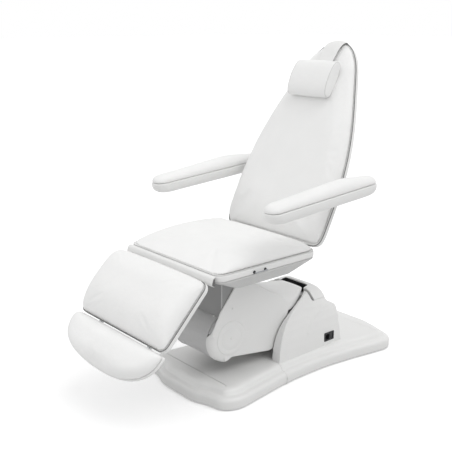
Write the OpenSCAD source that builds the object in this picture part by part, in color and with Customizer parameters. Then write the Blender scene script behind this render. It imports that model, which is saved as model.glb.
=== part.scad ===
// Electric examination and treatment table: a padded seat, a reclining back, a leg rest
// with a sliding foot section, two arm rests and a head pillow, carried level by a
// parallel-link lift arm that swings in a moulded tower on a flat base.
// Millimetres. +Z is up, the front faces -Y, and +X is the sitter's left.
// The origin is on the floor at the middle of the base.

/* [Seat] */
// Length of the seat cushion, front to rear
seat_l = 540; // [480:5:600]
// Width of the seat cushion
seat_w = 600; // [560:5:620]
// Height of the seat's sewn edge above the floor, lift down
seat_z = 600; // [590:5:640]
// Distance of the seat's front edge in front of the origin
seat_front = 583; // [575:1:590]
// Height of the seat cushion's side above its sewn edge
seat_side_h = 33; // [28:1:50]
// Further rise of the seat cushion at its middle
seat_crown = 18; // [5:1:25]
// Thickness of the board under the seat cushion
seat_board_t = 28; // [20:1:32]
// Corner radius of the seat
seat_corner_r = 42; // [35:1:60]

/* [Seat pan] */
// Depth of the tray under the seat board
pan_h = 74; // [60:1:78]
// Width of the tray's flat bottom
pan_bottom_w = 450; // [400:5:480]
// Length of the tray's flat bottom
pan_bottom_l = 330; // [300:5:360]
// Wall of the tray
pan_wall = 4; // [3:0.5:6]

/* [Backrest] */
// Length of the backrest
back_l = 935; // [850:5:960]
// Greatest width of the backrest
back_w = 600; // [560:5:620]
// Lean of the backrest from upright
back_lean = 27; // [20:1:35]
// Height of the back cushion's side
back_side_h = 38; // [30:1:50]
// Further rise of the back cushion at its middle
back_crown = 20; // [5:1:25]
// Thickness of the back board
back_board_t = 20; // [14:1:26]

/* [Leg rest] */
// Length of the leg rest
leg_l = 305; // [260:5:340]
// Width of the leg rest
leg_w = 590; // [540:5:600]
// Angle of the leg rest below level
leg_pitch = 46; // [30:1:55]
// Height of the leg cushion's side
leg_side_h = 36; // [30:1:50]
// Further rise of the leg cushion at its middle
leg_crown = 20; // [5:1:25]
// Thickness of the leg board
leg_board_t = 20; // [14:1:24]

/* [Foot section] */
// Length of the foot section
foot_l = 165; // [120:5:180]
// Gap between the leg rest and the foot section, pushed in
foot_gap = 4; // [3:1:20]
// Height of the foot cushion's side
foot_side_h = 26; // [20:1:40]
// Further rise of the foot cushion at its middle
foot_crown = 14; // [5:1:20]
// Thickness of the foot board
foot_board_t = 12; // [8:1:18]
// Diameter of the foot section's slide rods
rod_d = 20; // [14:1:24]

/* [Arm rests] */
// Length of an arm rest
rest_l = 620; // [540:5:660]
// Width of an arm rest
rest_w = 88; // [70:1:100]
// Depth of an arm rest's lower shell
rest_shell_h = 48; // [36:1:60]
// Height of an arm rest's pad
rest_pad_h = 52; // [30:1:60]
// Height of the arm rests' pivots along the back
rest_pivot_up = 296; // [270:1:300]
// Distance from the pivot to the arm rest's rear end
rest_tail = 80; // [66:1:90]
// Slope of the arm rests, front end down
rest_slope = 4; // [0:0.5:8]

/* [Pillow] */
// Length of the head pillow across the back
pillow_l = 226; // [180:2:260]
// Height of the head pillow along the back
pillow_h = 156; // [120:2:170]
// Thickness of the head pillow
pillow_t = 62; // [40:1:80]
// Height of the pillow's middle along the back
pillow_up = 726; // [690:2:750]
// Width of the strap that the pillow hangs on
strap_w = 100; // [80:2:170]
// Thickness of the strap
strap_t = 2.5; // [2:0.5:4]

/* [Lift] */
// Height of the hub where the seat's carrier turns on the lift arm
hub_z = 247; // [244:1:252]
// Distance of the hub in front of the origin
hub_front = 383; // [375:1:390]
// Height of the lift arm's pivot in the tower
mast_z = 290; // [286:1:292]
// Distance of the lift arm's pivot in front of the tower's rear
pivot_back = 127; // [124:1:130]
// Spacing of the lift arm's pivots from those of the parallel link below it
link_drop = 80; // [72:1:82]
// Diameter of the pivot shafts
shaft_d = 24; // [18:1:26]
// Running gap round a shaft, on the radius
shaft_gap = 0.05; // [0.02:0.01:0.1]
// Width over the lift arm's covers
casing_w = 280; // [272:2:284]
// Radius of the round nose that carries the seat's column
drum_r = 112; // [108:1:114]

/* [Base] */
// Length of the base over its covers
base_l = 1135; // [1100:5:1160]
// Greatest width of the front base cover
base_front_w = 568; // [540:2:580]
// Width of the base at its waist, beside the tower
base_waist_w = 484; // [460:2:500]
// Greatest width of the rear base cover
base_rear_w = 600; // [580:2:620]
// Height of the base covers' edge
base_edge_h = 52; // [46:1:58]
// Height of the base covers' raised middle
base_top_h = 80; // [74:1:90]
// Thickness of the steel floor plate
plate_t = 10; // [8:1:14]

/* [Tower] */
// Length of the tower, front to rear
tower_l = 412; // [406:1:420]
// Width of the tower at its foot
tower_w = 390; // [380:2:400]
// Height of the tower
tower_h = 346; // [342:1:352]
// Distance of the tower's front edge in front of the origin
tower_front = 151; // [148:1:154]
// Width of the channel that the lift arm swings in
channel_w = 292; // [290:1:296]
// Length of the slot in the tower's top
slot_l = 34; // [32:1:36]
// Width of the slot in the tower's top
slot_w = 146; // [140:1:150]

/* [Mains inlet] */
// Width of the inlet's face
inlet_w = 62; // [50:1:66]
// Height of the inlet's face
inlet_h = 40; // [34:1:44]
// Height of the inlet's middle above the floor
inlet_z = 118; // [112:1:124]

/* [Hidden] */
$fn = 48;
// Overrun of every cut
cut = 1;
// Gap between pieces of one body that only meet
seam = 0.3;
// Gap that soft solids keep from their neighbours
soft_gap = 0.3;
white = [0.93, 0.93, 0.92];
soft_white = [0.95, 0.95, 0.94];
steel = [0.62, 0.63, 0.65];
dark = [0.08, 0.08, 0.09];

// Points of an arc about [a, b]
function arc(a, b, r, from, to, n) =
    [for (i = [0:n]) [a + r * cos(from + (to - from) * i / n), b + r * sin(from + (to - from) * i / n)]];

// Points of a rounded rectangle, l along Y and w along X, from its middle, counter-clockwise
function rounded_points(l, w, r, n) = concat(
    arc(w / 2 - r, l / 2 - r, r, 0, 90, n),
    [for (s = [1, 0, -1]) [s * (w / 2 - r) / 2, l / 2]],
    arc(r - w / 2, l / 2 - r, r, 90, 180, n),
    [for (s = [1, 0, -1]) [-w / 2, s * (l / 2 - r) / 2]],
    arc(r - w / 2, r - l / 2, r, 180, 270, n),
    [for (s = [-1, 0, 1]) [s * (w / 2 - r) / 2, -l / 2]],
    arc(w / 2 - r, r - l / 2, r, 270, 360, n),
    [for (s = [-1, 0, 1]) [w / 2, s * (l / 2 - r) / 2]]
);

function unit(v) = v / norm(v);
// The outline drawn in by d, each point along its own normal
function inset(pts, d) = let (n = len(pts)) [
    for (i = [0:n - 1]) let (t = unit(pts[(i + 1) % n] - pts[(i + n - 1) % n]))
        pts[i] + d * [-t[1], t[0]]
];
function middle(pts) = [for (k = [0, 1]) (max([for (p = pts) p[k]]) + min([for (p = pts) p[k]])) / 2];
// The outline made narrower and shorter by d at each end, about its middle
function drawn_in(pts, d) = let (c = middle(pts), h = [for (k = [0, 1]) max([for (p = pts) p[k]]) - c[k]])
    [for (p = pts) [for (k = [0, 1]) c[k] + (p[k] - c[k]) * (1 - d / h[k])]];

// How a cushion's side bulges: shares of the edge radius drawn in, and of the side's height
side_shares = [[0.012, 0], [0, 0.14], [0.03, 0.34], [0.14, 0.56], [0.34, 0.77], [0.62, 0.93], [1, 1]];
// How its top rises: shares of the outline left, and of the crown
crown_shares = [[0.74, 0.42], [0.48, 0.76], [0.22, 0.95]];

// A stuffed cushion on the outline pts, standing on z = 0; arch holds shares of its height along Y
module cushion(pts, side_h, crown, edge_r, arch = [[0, 1], [1, 1]]) {
    n = len(pts);
    c = middle(pts);
    low = min([for (p = pts) p[1]]);
    top = drawn_in(pts, edge_r * side_shares[len(side_shares) - 1][0]);
    rings = concat(
        [for (s = side_shares) [for (p = drawn_in(pts, edge_r * s[0])) [p[0], p[1], side_h * s[1]]]],
        [for (s = crown_shares) [for (p = top) [c[0] + (p[0] - c[0]) * s[0], c[1] + (p[1] - c[1]) * s[0],
            side_h + crown * s[1]]]]
    );
    k = len(rings);
    flat = concat([for (r = rings) each r], [[c[0], c[1], 0], [c[0], c[1], side_h + crown]]);
    points = [for (p = flat) [p[0], p[1], p[2] * lookup((p[1] - low) / (c[1] - low) / 2, arch)]];
    faces = concat(
        [for (i = [0:n - 1]) [n * k, i, (i + 1) % n]],
        [for (f = walls(n, k)) [f[2], f[1], f[0]]],
        [for (i = [0:n - 1]) [n * k + 1, (k - 1) * n + (i + 1) % n, (k - 1) * n + i]]
    );
    polyhedron(points, faces);
}

// The faces between k rings of n points, each ring after the last
function walls(n, k) = [for (j = [0:k - 2]) for (i = [0:n - 1]) for (t = [0, 1])
    let (a = j * n + i, b = j * n + (i + 1) % n) t == 0 ? [a, b, b + n] : [a, b + n, a + n]];

module rounded_plate(l, w, r, t) {
    linear_extrude(t) {
        square([w - 2 * r, l], center = true);
        square([w, l - 2 * r], center = true);
        for (x = [-1, 1]) for (y = [-1, 1])
            translate([x * (w / 2 - r), y * (l / 2 - r)]) circle(r);
    }
}

// A slab of a [y, z] outline, w wide across X and centred on x
module across(pts, w, x = 0) {
    translate([x - w / 2, 0, 0]) rotate([90, 0, 90]) linear_extrude(w) polygon(pts);
}

// A round bar along X from x0 to x1 at [y, z]
module bar_x(x0, x1, y, z, d) {
    translate([x0, y, z]) rotate([0, 90, 0]) cylinder(h = x1 - x0, d = d);
}

// Places that several pieces share
hub = [-hub_front, hub_z];
mast_rear = tower_l - tower_front - pivot_back;
mast = [mast_rear, mast_z];
hub_low = hub - [0, link_drop];
mast_low = mast - [0, link_drop];
bore_d = shaft_d + 2 * shaft_gap;

// Widths across the lift, from the middle outwards
link_t = 24;
column_in = 50;
column_t = 12;
bar_in = 70;
bar_t = 14;
mast_in = 92;
mast_t = 12;
cover_t = 5;
panel_gap = 2;
// Radius that the arm covers' nose rolls in by
roll_r = 32;
panel_w = casing_w - 2 * (cover_t + panel_gap);
drum_w = casing_w - 2 * (roll_r + panel_gap);

// Floor plate and masts
plate_w = 420;
plate_margin = 45;
module floor_plate() color(steel) {
    rounded_plate(base_l - 2 * plate_margin, plate_w, plate_margin, plate_t);
}

// Length of a mast's foot, as a share of the room behind the pivot, both ways
mast_foot_share = 0.59;
mast_foot_l = 2 * mast_foot_share * pivot_back;
mast_foot_w = 34;
mast_eye_r = 26;
mast_rim = 6;
module mast_plate(side) color(steel) difference() {
    union() {
        across([
            [mast[0] - mast_foot_l / 2, plate_t], [mast[0] + mast_foot_l / 2 - mast_t, plate_t],
            [mast[0] + mast_eye_r, mast[1]], [mast[0] - mast_eye_r, mast[1]]
        ], mast_t, side * (mast_in + mast_t / 2));
        bar_x(side * (mast_in + mast_t / 2) - mast_t / 2, side * (mast_in + mast_t / 2) + mast_t / 2,
            mast[0], mast[1], 2 * mast_eye_r);
        translate([side * (mast_in + mast_t + mast_foot_w / 2) - mast_foot_w / 2,
            mast[0] - mast_foot_l / 2, plate_t])
            cube([mast_foot_w, mast_foot_l - mast_t, mast_rim]);
    }
    for (p = [mast, mast_low])
        bar_x(side * (mast_in + mast_t / 2) - mast_t, side * (mast_in + mast_t / 2) + mast_t,
            p[0], p[1], shaft_d);
    bar_x(-tower_w, tower_w, motor_pin[0], motor_pin[1], pin_d);
}
module mast_left() mast_plate(1);
module mast_right() mast_plate(-1);

module shaft(p, half) color(steel) bar_x(-half, half, p[0], p[1], shaft_d);
module mast_shaft_upper() shaft(mast, mast_in + mast_t);
module mast_shaft_lower() shaft(mast_low, mast_in + mast_t);

// Base covers
split_lead = 4;
split = -tower_front - split_lead;
edge_bevel = 9;
base_gap = 4;
nose_r = 120;
tail_r = 76;
tail_draw = 30;
cover_wall = 4;
// One rounded corner of a base cover, drawn in by d
module pebble(x, y, r, d, top) {
    translate([x, y, base_gap]) cylinder(h = top - edge_bevel - base_gap, r = r - d, $fn = 32);
    translate([x, y, base_gap]) cylinder(h = top - base_gap, r = r - d - edge_bevel, $fn = 32);
}
// Front cover: edge slab with the raised middle on it
// Radius of the front edge's middle and of the covers' corners at the waist
nose_mid_r = 132;
waist_r = 20;
front_draw = 10;
rear_spread = 8;
module front_slab(d, top, crown) {
    f = base_front_w / 2;
    w = base_waist_w / 2;
    e = d + min(crown, edge_bevel);
    hull() {
        for (x = [-1, 1]) {
            pebble(x * (f - nose_r), nose_r - base_l / 2 + front_draw, nose_r, d + crown, top);
            pebble(x * (f - nose_r) / 2, nose_mid_r - base_l / 2, nose_mid_r, d + crown, top);
            pebble(x * (w - waist_r), split + 2 * waist_r, waist_r, e, top);
        }
    }
}
module rear_slab(d, top, crown) {
    r = base_rear_w / 2;
    w = base_waist_w / 2;
    e = d + min(crown, edge_bevel);
    hull() {
        for (x = [-1, 1]) {
            pebble(x * (w - waist_r), split - waist_r, waist_r, e, top);
            pebble(x * (w + rear_spread - waist_r), -split, waist_r, e, top);
        }
    }
    hull() {
        for (x = [-1, 1]) {
            pebble(x * (w + rear_spread - waist_r), -split - edge_bevel, waist_r, e, top);
            pebble(x * (r - tail_r), base_l / 2 - tail_r - tail_draw, tail_r, d + crown, top);
            pebble(x * (r - tail_r) / 2, base_l / 2 - tail_r, tail_r, d + crown, top);
        }
    }
}
module halfspace(y0, y1) {
    translate([-base_rear_w, y0, 0]) cube([2 * base_rear_w, y1 - y0, tower_h]);
}
rim_w = 34;
// Room for the floor plate under the covers
module plate_room()
    rounded_plate(base_l - 2 * (plate_margin - seam), plate_w + 2 * seam, plate_margin, plate_t + seam);
module base_cover_front() color(white) difference() {
    union() {
        front_slab(0, base_edge_h, 0);
        front_slab(0, base_top_h, rim_w);
    }
    front_slab(cover_wall, base_edge_h - cover_wall, 0);
    halfspace(split - seam / 2, base_l);
    plate_room();
}
module tower_foot(d) {
    translate([-tower_w / 2 - d, -tower_front - tower_l, plate_t - cut])
        cube([tower_w + 2 * d, 2 * tower_l + d, tower_h]);
}
module base_cover_rear() color(white) difference() {
    union() {
        rear_slab(0, base_edge_h, 0);
        rear_slab(0, base_top_h, rim_w);
    }
    rear_slab(cover_wall, base_edge_h - cover_wall, 0);
    halfspace(-base_l, split + seam / 2);
    tower_foot(seam);
    plate_room();
}

// Tower
// Side profile: shares of the tower's length and height
tower_side_shares = [
    [0, 0.03], [0, 0.17], [0.012, 0.36], [0.03, 0.45], [0.058, 0.54], [0.09, 0.61], [0.131, 0.672],
    [0.17, 0.718], [0.218, 0.76], [0.275, 0.80], [0.333, 0.835], [0.39, 0.866], [0.449, 0.893],
    [0.539, 0.928], [0.60, 0.95], [0.66, 0.972], [0.72, 0.993], [0.755, 1], [0.785, 0.985],
    [0.806, 0.955], [0.814, 0.91], [0.816, 0.82], [0.84, 0.79], [0.885, 0.765], [0.925, 0.735],
    [0.938, 0.69], [0.948, 0.5], [0.972, 0.3], [1, 0.15], [1, 0.03]
];
// Front view: shares of the half width and the height
tower_front_shares = [
    [1, 0], [1, 0.13], [0.992, 0.35], [0.975, 0.48], [0.94, 0.60], [0.89, 0.70], [0.82, 0.79],
    [0.73, 0.87], [0.60, 0.94], [0.44, 0.98], [0.24, 0.996], [0, 1]
];
function tower_point(s, d) = [
    -tower_front + tower_l / 2 + (s[0] - 0.5) * (tower_l - 2 * d),
    plate_t + (s[1] * tower_h - plate_t) * (tower_h - d) / tower_h
];
module tower_block(d) {
    intersection() {
        across([for (s = tower_side_shares) tower_point(s, d)], tower_w + cut);
        translate([0, tower_l + tower_front, 0]) rotate([90, 0, 0])
            linear_extrude(2 * (tower_l + tower_front)) polygon(concat(
                [for (s = tower_front_shares) [s[0] * (tower_w / 2 - d), s[1] * (tower_h - d)]],
                [for (i = [len(tower_front_shares) - 2:-1:0]) let (s = tower_front_shares[i])
                    [-s[0] * (tower_w / 2 - d), s[1] * (tower_h - d)]]
            ));
    }
}
// The moulding's line between its sides and its back, behind the channel
slot_lead = 4;
back_split = mast[0] - slot_l / 2 - slot_lead;
tower_wall = 5;
// The channel's own front view, drawn in over the arm: shares of its half width and of the
// tower's height
channel_shares = [
    [1, 0], [1, 0.70], [0.985, 0.76], [0.955, 0.81], [0.90, 0.865], [0.82, 0.905], [0.70, 0.94],
    [0.58, 0.965], [0.515, 0.975], [0.515, 1.1]
];
module channel() {
    translate([0, back_split, 0]) rotate([90, 0, 0]) linear_extrude(back_split + tower_front + cut)
        polygon(concat(
            [for (s = channel_shares) [s[0] * channel_w / 2, s[1] * tower_h]],
            [for (i = [len(channel_shares) - 1:-1:0]) let (s = channel_shares[i])
                [-s[0] * channel_w / 2, s[1] * tower_h]]
        ));
    translate([-channel_w / 2, back_split - cut, 0]) cube([channel_w, tower_l, tower_h + cut]);
}
module tower_side(side) color(white) difference() {
    tower_block(0);
    channel();
    translate([side > 0 ? -tower_w : 0, -tower_front - tower_l, 0])
        cube([tower_w, 3 * tower_l, 2 * tower_h]);
    tower_side_hollow(side);
    if (side > 0) inlet_hole(seam);
}
// Length of the tower's solid front edge, and the space behind it, where the tower is hollow
front_wall_l = 97;
module tower_side_hollow(side) {
    intersection() {
        tower_block(tower_wall);
        translate([-tower_w / 2, -tower_front + front_wall_l, plate_t - cut])
            cube([tower_w, tower_l, tower_h]);
    }
}
module tower_back() color(white) difference() {
    intersection() {
        tower_block(0);
        translate([-channel_w / 2 + seam, back_split, 0])
            cube([channel_w - 2 * seam, tower_l, 2 * tower_h]);
    }
    intersection() {
        tower_block(tower_wall);
        translate([-channel_w / 2 + tower_wall, back_split - cut, 0])
            cube([channel_w - 2 * tower_wall, tower_l, tower_h]);
    }
    translate([-slot_w / 2, back_split - cut, tower_h / 2]) cube([slot_w, slot_l + cut, tower_h]);
}

// Mains inlet on the near side
// Distance of the inlet's middle in front of the tower's rear end
inlet_back = 91;
inlet_y = tower_l - tower_front - inlet_back;
inlet_d = 24;
rocker_w = 19;
rocker_h = 26;
rocker_gap = 0.6;
// The rocker's side view, in shares of its height
rocker_shares = [[-0.143, -0.442], [0.167, -0.462], [0.111, 0], [0.167, 0.462], [-0.143, 0.442]];
rocker_in = 6;
rocker_x = tower_w / 2 - rocker_in;
rocker_pin_d = 3;
rocker_y = inlet_y + inlet_w / 4;
// Length of the rocker's pin beyond its sides
rocker_pin_l = 2.4;
// Floor of the socket and the well behind the inlet's face, and the room behind the face
well_d = 16.8;
hole_room = 4;
socket_side = 5;
socket_w = 27;
socket_h = 26;
module inlet_hole(d) {
    translate([tower_w / 2 - inlet_d - cut, inlet_y - inlet_w / 2 - d, inlet_z - inlet_h / 2 - d])
        cube([inlet_d + hole_room, inlet_w + 2 * d, inlet_h + 2 * d]);
}
module mains_inlet() color(dark) difference() {
    translate([tower_w / 2 - inlet_d, inlet_y - inlet_w / 2, inlet_z - inlet_h / 2])
        cube([inlet_d, inlet_w, inlet_h]);
    // Socket recess for the mains lead
    translate([tower_w / 2 - well_d, inlet_y - inlet_w / 2 + socket_side, inlet_z - socket_h / 2])
        cube([inlet_d, socket_w, socket_h]);
    // Well of the rocker
    translate([tower_w / 2 - well_d, rocker_y - rocker_w / 2 - rocker_gap,
        inlet_z - rocker_h / 2 - rocker_gap])
        cube([inlet_d, rocker_w + 2 * rocker_gap, rocker_h + 2 * rocker_gap]);
    translate([rocker_x, rocker_y - rocker_w / 2 - rocker_pin_d, inlet_z]) rotate([-90, 0, 0])
        cylinder(h = rocker_w + 2 * rocker_pin_d, d = rocker_pin_d + 2 * shaft_gap);
}
module inlet_rocker() color(dark) union() {
    translate([rocker_x, rocker_y - rocker_w / 2, inlet_z]) rotate([90, 0, 180]) mirror([1, 0, 0])
        linear_extrude(rocker_w) polygon(rocker_h * rocker_shares);
    translate([rocker_x, rocker_y - rocker_w / 2 - rocker_pin_l, inlet_z]) rotate([-90, 0, 0])
        cylinder(h = rocker_w + 2 * rocker_pin_l, d = rocker_pin_d);
}
box_l = 50;
box_w = 180;
box_h = 90;
box_back = 27;
module control_box() color(dark)
    translate([-box_w / 2, -tower_front + tower_l - box_l - box_back, plate_t])
        cube([box_w, box_l, box_h]);

// Lift arm, turning on the upper mast shaft
arm_run = norm(hub - mast);
arm_dir = unit(hub - mast);
arm_up = [arm_dir[1], -arm_dir[0]];
bar_h = 44;
eye_r = 28;
tie_d = 26;
// Where the tie between the bars sits: share of the arm's run from the mast
tie_share = 0.333;
tie_place = mast + arm_dir * arm_run * tie_share;
pin_d = 12;
// Where the lift actuator's rod meets the arm: share of the arm's run from the mast
rod_share = 0.6;
rod_pin = mast + rod_share * arm_run * arm_dir;
// Where the actuator's body turns on the mast: distances from the mast's upper shaft
motor_back = 36;
motor_down = 176;
motor_pin = mast - [motor_back, motor_down];
module lift_bars() color(steel) difference() {
    union() {
        for (x = [-1, 1]) {
            across([
                mast + arm_up * bar_h / 2, mast - arm_up * bar_h / 2,
                hub - arm_up * bar_h / 2, hub + arm_up * bar_h / 2
            ], bar_t, x * (bar_in + bar_t / 2));
            for (p = [mast, hub])
                bar_x(x * (bar_in + bar_t / 2) - bar_t / 2, x * (bar_in + bar_t / 2) + bar_t / 2,
                    p[0], p[1], 2 * eye_r);
        }
        bar_x(-bar_in - cut, bar_in + cut, tie_place[0], tie_place[1], tie_d);
        bar_x(-bar_in - cut, bar_in + cut, rod_pin[0], rod_pin[1], pin_d);
    }
    bar_x(-mast_in, mast_in, mast[0], mast[1], bore_d);
    bar_x(-mast_in, mast_in, hub[0], hub[1], shaft_d);
}

// Outline of an arm cover behind its nose: shares of the arm's run, from the hub
cover_shares = [
    [-0.106, 0.243], [0.046, 0.425], [0.10, 0.447], [0.16, 0.442], [0.24, 0.415], [0.34, 0.355],
    [0.44, 0.292], [0.526, 0.253], [0.530, 0.12], [0.534, -0.035], [0.516, -0.075], [0.484, -0.125],
    [0.462, -0.17], [0.446, -0.228], [0.43, -0.236], [0.01, -0.170]
];
nose_step = 2;
nose_out_r = drum_r - nose_step;
// The arc of the covers' nose, in degrees about the hub
nose_from = 158;
nose_to = 252;
disc_r = 72;
disc_t = 4;
boss_r = 24;
cap_r = 6;
cap_t = 3;
cap_top_r = 4.8;
boss_in = bar_in + bar_t;
boss_out = casing_w / 2 - cover_t;
// The groove that draws the hub's turning ring: its inner and outer radius
ring_in_r = 53;
ring_out_r = 56;
function cover_points() = concat(
    [arc(hub[0], hub[1], nose_out_r, nose_to, nose_from, 1)[0]],
    arc(hub[0], hub[1], nose_out_r - roll_r, nose_to, nose_from, 12),
    [arc(hub[0], hub[1], nose_out_r, nose_to, nose_from, 1)[1]],
    [for (s = cover_shares) hub + arm_run * s]
);
// The quarter-round rim of a cover's nose, turned about the hub
module nose_rim(side) mirror([side > 0 ? 1 : 0, 0, 0])
    translate([-casing_w / 2, hub[0], hub[1]]) rotate([90, 0, 90]) rotate([0, 0, nose_from])
        rotate_extrude(angle = nose_to - nose_from) intersection() {
            translate([nose_out_r - roll_r, roll_r]) difference() {
                circle(roll_r);
                circle(roll_r - cover_t);
            }
            translate([nose_out_r - roll_r - cut, 0]) square([roll_r + 2 * cut, roll_r]);
        }
module arm_cover(side) color(white) difference() {
    union() {
        across(cover_points(), cover_t, side * (casing_w - cover_t) / 2);
        bar_x(side * (casing_w + disc_t) / 2 - disc_t / 2, side * (casing_w + disc_t) / 2 + disc_t / 2,
            hub[0], hub[1], 2 * disc_r);
        bar_x(side > 0 ? boss_in : -boss_out, side > 0 ? boss_out : -boss_in, hub[0], hub[1], 2 * boss_r);
        nose_rim(side);
    }
    bar_x(-boss_out, boss_out, hub[0], hub[1], shaft_d);
    // Groove that draws the hub's turning ring
    translate([side * (casing_w / 2 + disc_t) - cut, hub[0], hub[1]]) rotate([0, 90, 0]) difference() {
        cylinder(h = 2 * cut, r = ring_out_r);
        translate([0, 0, -cut]) cylinder(h = 4 * cut, r = ring_in_r);
    }
}
module arm_cover_left() arm_cover(1);
module arm_cover_right() arm_cover(-1);
module hub_shaft() color(steel) bar_x(-boss_out, boss_out, hub[0], hub[1], shaft_d);
module hub_caps() color(white) for (x = [-1, 1])
    translate([x * (casing_w / 2 + disc_t), hub[0], hub[1]]) rotate([0, x * 90, 0]) {
        cylinder(h = cap_t / 2, r = cap_r);
        translate([0, 0, cap_t / 2]) cylinder(h = cap_t / 2, r1 = cap_r, r2 = cap_top_r);
    }

// Hood: stations from front to rear. Shares of the arm's run behind the hub, of the tower's
// height for the lower edge, shoulder, fold and ridge, and of the casing's half width
hood_shares = [
    // run, lower z, lower x, shoulder z, shoulder x, fold z, fold x, ridge z
    [0.541, 0.690, 1.000, 0.900, 0.995, 1.065, 0.86, 1.105],
    [0.620, 0.785, 0.975, 0.900, 0.940, 1.030, 0.76, 1.062],
    [0.712, 0.858, 0.900, 0.920, 0.860, 1.000, 0.68, 1.028],
    [0.805, 0.915, 0.785, 0.940, 0.760, 0.985, 0.61, 1.004],
    [0.878, 0.948, 0.660, 0.958, 0.650, 0.979, 0.54, 0.990],
    [0.952, 0.958, 0.490, 0.964, 0.485, 0.974, 0.44, 0.980]
];
hood_wall = 4;
// The roof's outline: shares of the arm's run from the hub
roof_shares = [
    [0.24, 0.405], [0.34, 0.345], [0.44, 0.282], [0.541, 0.24],
    [0.541, 0.23], [0.44, 0.272], [0.34, 0.335], [0.24, 0.395]
];
function hood_half(s, d, k) = let (w = casing_w / 2 - d * k, h = tower_h) [
    [w * s[2], h * s[1]], [w * s[4], h * s[3] - d * k / 4], [w * s[6], h * s[5] - d * k],
    [w * s[6] / 2, h * (s[5] + s[7] * 2) / 3 - d * k], [0, h * s[7] - d * k]
];
function hood_arch(s, d, k) = let (p = hood_half(s, d, k), n = len(p)) concat(
    p, [for (i = [n - 2:-1:0]) [-p[i][0], p[i][1]]]
);
module arm_hood() color(white) {
    rows = [for (s = hood_shares) let (o = hood_arch(s, 0, 1), i = hood_arch(s, hood_wall, 1))
        [for (p = concat(o, [for (j = [len(i) - 1:-1:0]) i[j]])) [p[0], hub[0] + arm_run * s[0], p[1]]]];
    n = len(rows[0]);
    k = len(rows);
    h = n / 2;
    last = (k - 1) * n;
    faces = concat(
        walls(n, k),
        [for (i = [0:h - 2]) [i, n - 1 - i, n - 2 - i]],
        [for (i = [0:h - 2]) [i, n - 2 - i, i + 1]],
        [for (i = [0:h - 2]) [last + i, last + n - 2 - i, last + n - 1 - i]],
        [for (i = [0:h - 2]) [last + i, last + i + 1, last + n - 2 - i]]
    );
    polyhedron([for (r = rows) each r], faces);
    // Roof between the arm covers, ahead of the hood
    across([for (s = roof_shares) hub + arm_run * s], casing_w - 2 * cover_t - seam);
}
// Plate that closes the arm below: shares of the arm's run from the hub
belly_shares = [[0.16, -0.186], [0.43, -0.228], [0.43, -0.220], [0.16, -0.178]];
module arm_belly() color(white)
    across([for (s = belly_shares) hub + arm_run * s], casing_w - 2 * cover_t - seam);

// Parallel link that keeps the seat level, beside the actuator
link_x = -32;
link_h = 28;
link_eye_r = 19;
module parallel_link() color(steel) difference() {
    union() {
        across([
            mast_low + arm_up * link_h / 2, mast_low - arm_up * link_h / 2,
            hub_low - arm_up * link_h / 2, hub_low + arm_up * link_h / 2
        ], link_t, link_x);
        for (p = [mast_low, hub_low])
            bar_x(link_x - link_t / 2, link_x + link_t / 2, p[0], p[1], 2 * link_eye_r);
    }
    for (p = [mast_low, hub_low]) bar_x(-mast_in, mast_in, p[0], p[1], bore_d);
}

// Lift actuator: the body turns on the motor pin, the rod slides out of it
motor_x = 20;
motor_d = 50;
motor_l = 210;
rod_out_d = 22;
rod_eye_r = 16;
rod_eye_w = 18;
open_gap = 5;
motor_dir = unit(rod_pin - motor_pin);
motor_run = norm(rod_pin - motor_pin);
module along_motor(from, to, d) {
    a = atan2(motor_dir[1], motor_dir[0]);
    translate([motor_x, motor_pin[0], motor_pin[1]]) rotate([a, 0, 0]) translate([0, from, 0])
        rotate([-90, 0, 0]) cylinder(h = to - from, d = d);
}
motor_eye_d = 30;
motor_eye_w = 26;
// The gland that the rod comes out of, the neck behind the body and the bore's start
gland_d = 33;
gland_l = 52;
neck_d = 23;
bore_from = 45;
rod_from = 47;
module lift_motor() color(dark) difference() {
    union() {
        along_motor(motor_eye_d / 2, motor_l, motor_d);
        along_motor(motor_l, motor_l + gland_l, gland_d);
        along_motor(0, motor_eye_d, neck_d);
        bar_x(motor_x - motor_eye_w / 2, motor_x + motor_eye_w / 2,
            motor_pin[0], motor_pin[1], motor_eye_d);
    }
    along_motor(bore_from, motor_run, rod_out_d + 2 * shaft_gap);
    bar_x(-mast_in, mast_in, motor_pin[0], motor_pin[1], pin_d + 2 * shaft_gap);
}
module lift_rod() color(steel) difference() {
    union() {
        along_motor(rod_from, motor_run - rod_eye_r / 2, rod_out_d);
        bar_x(motor_x - rod_eye_w / 2, motor_x + rod_eye_w / 2, rod_pin[0], rod_pin[1], 2 * rod_eye_r);
    }
    bar_x(-mast_in, mast_in, rod_pin[0], rod_pin[1], pin_d + 2 * open_gap);
}
module motor_shaft() color(steel)
    bar_x(-mast_in - mast_t, mast_in + mast_t, motor_pin[0], motor_pin[1], pin_d);

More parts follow.
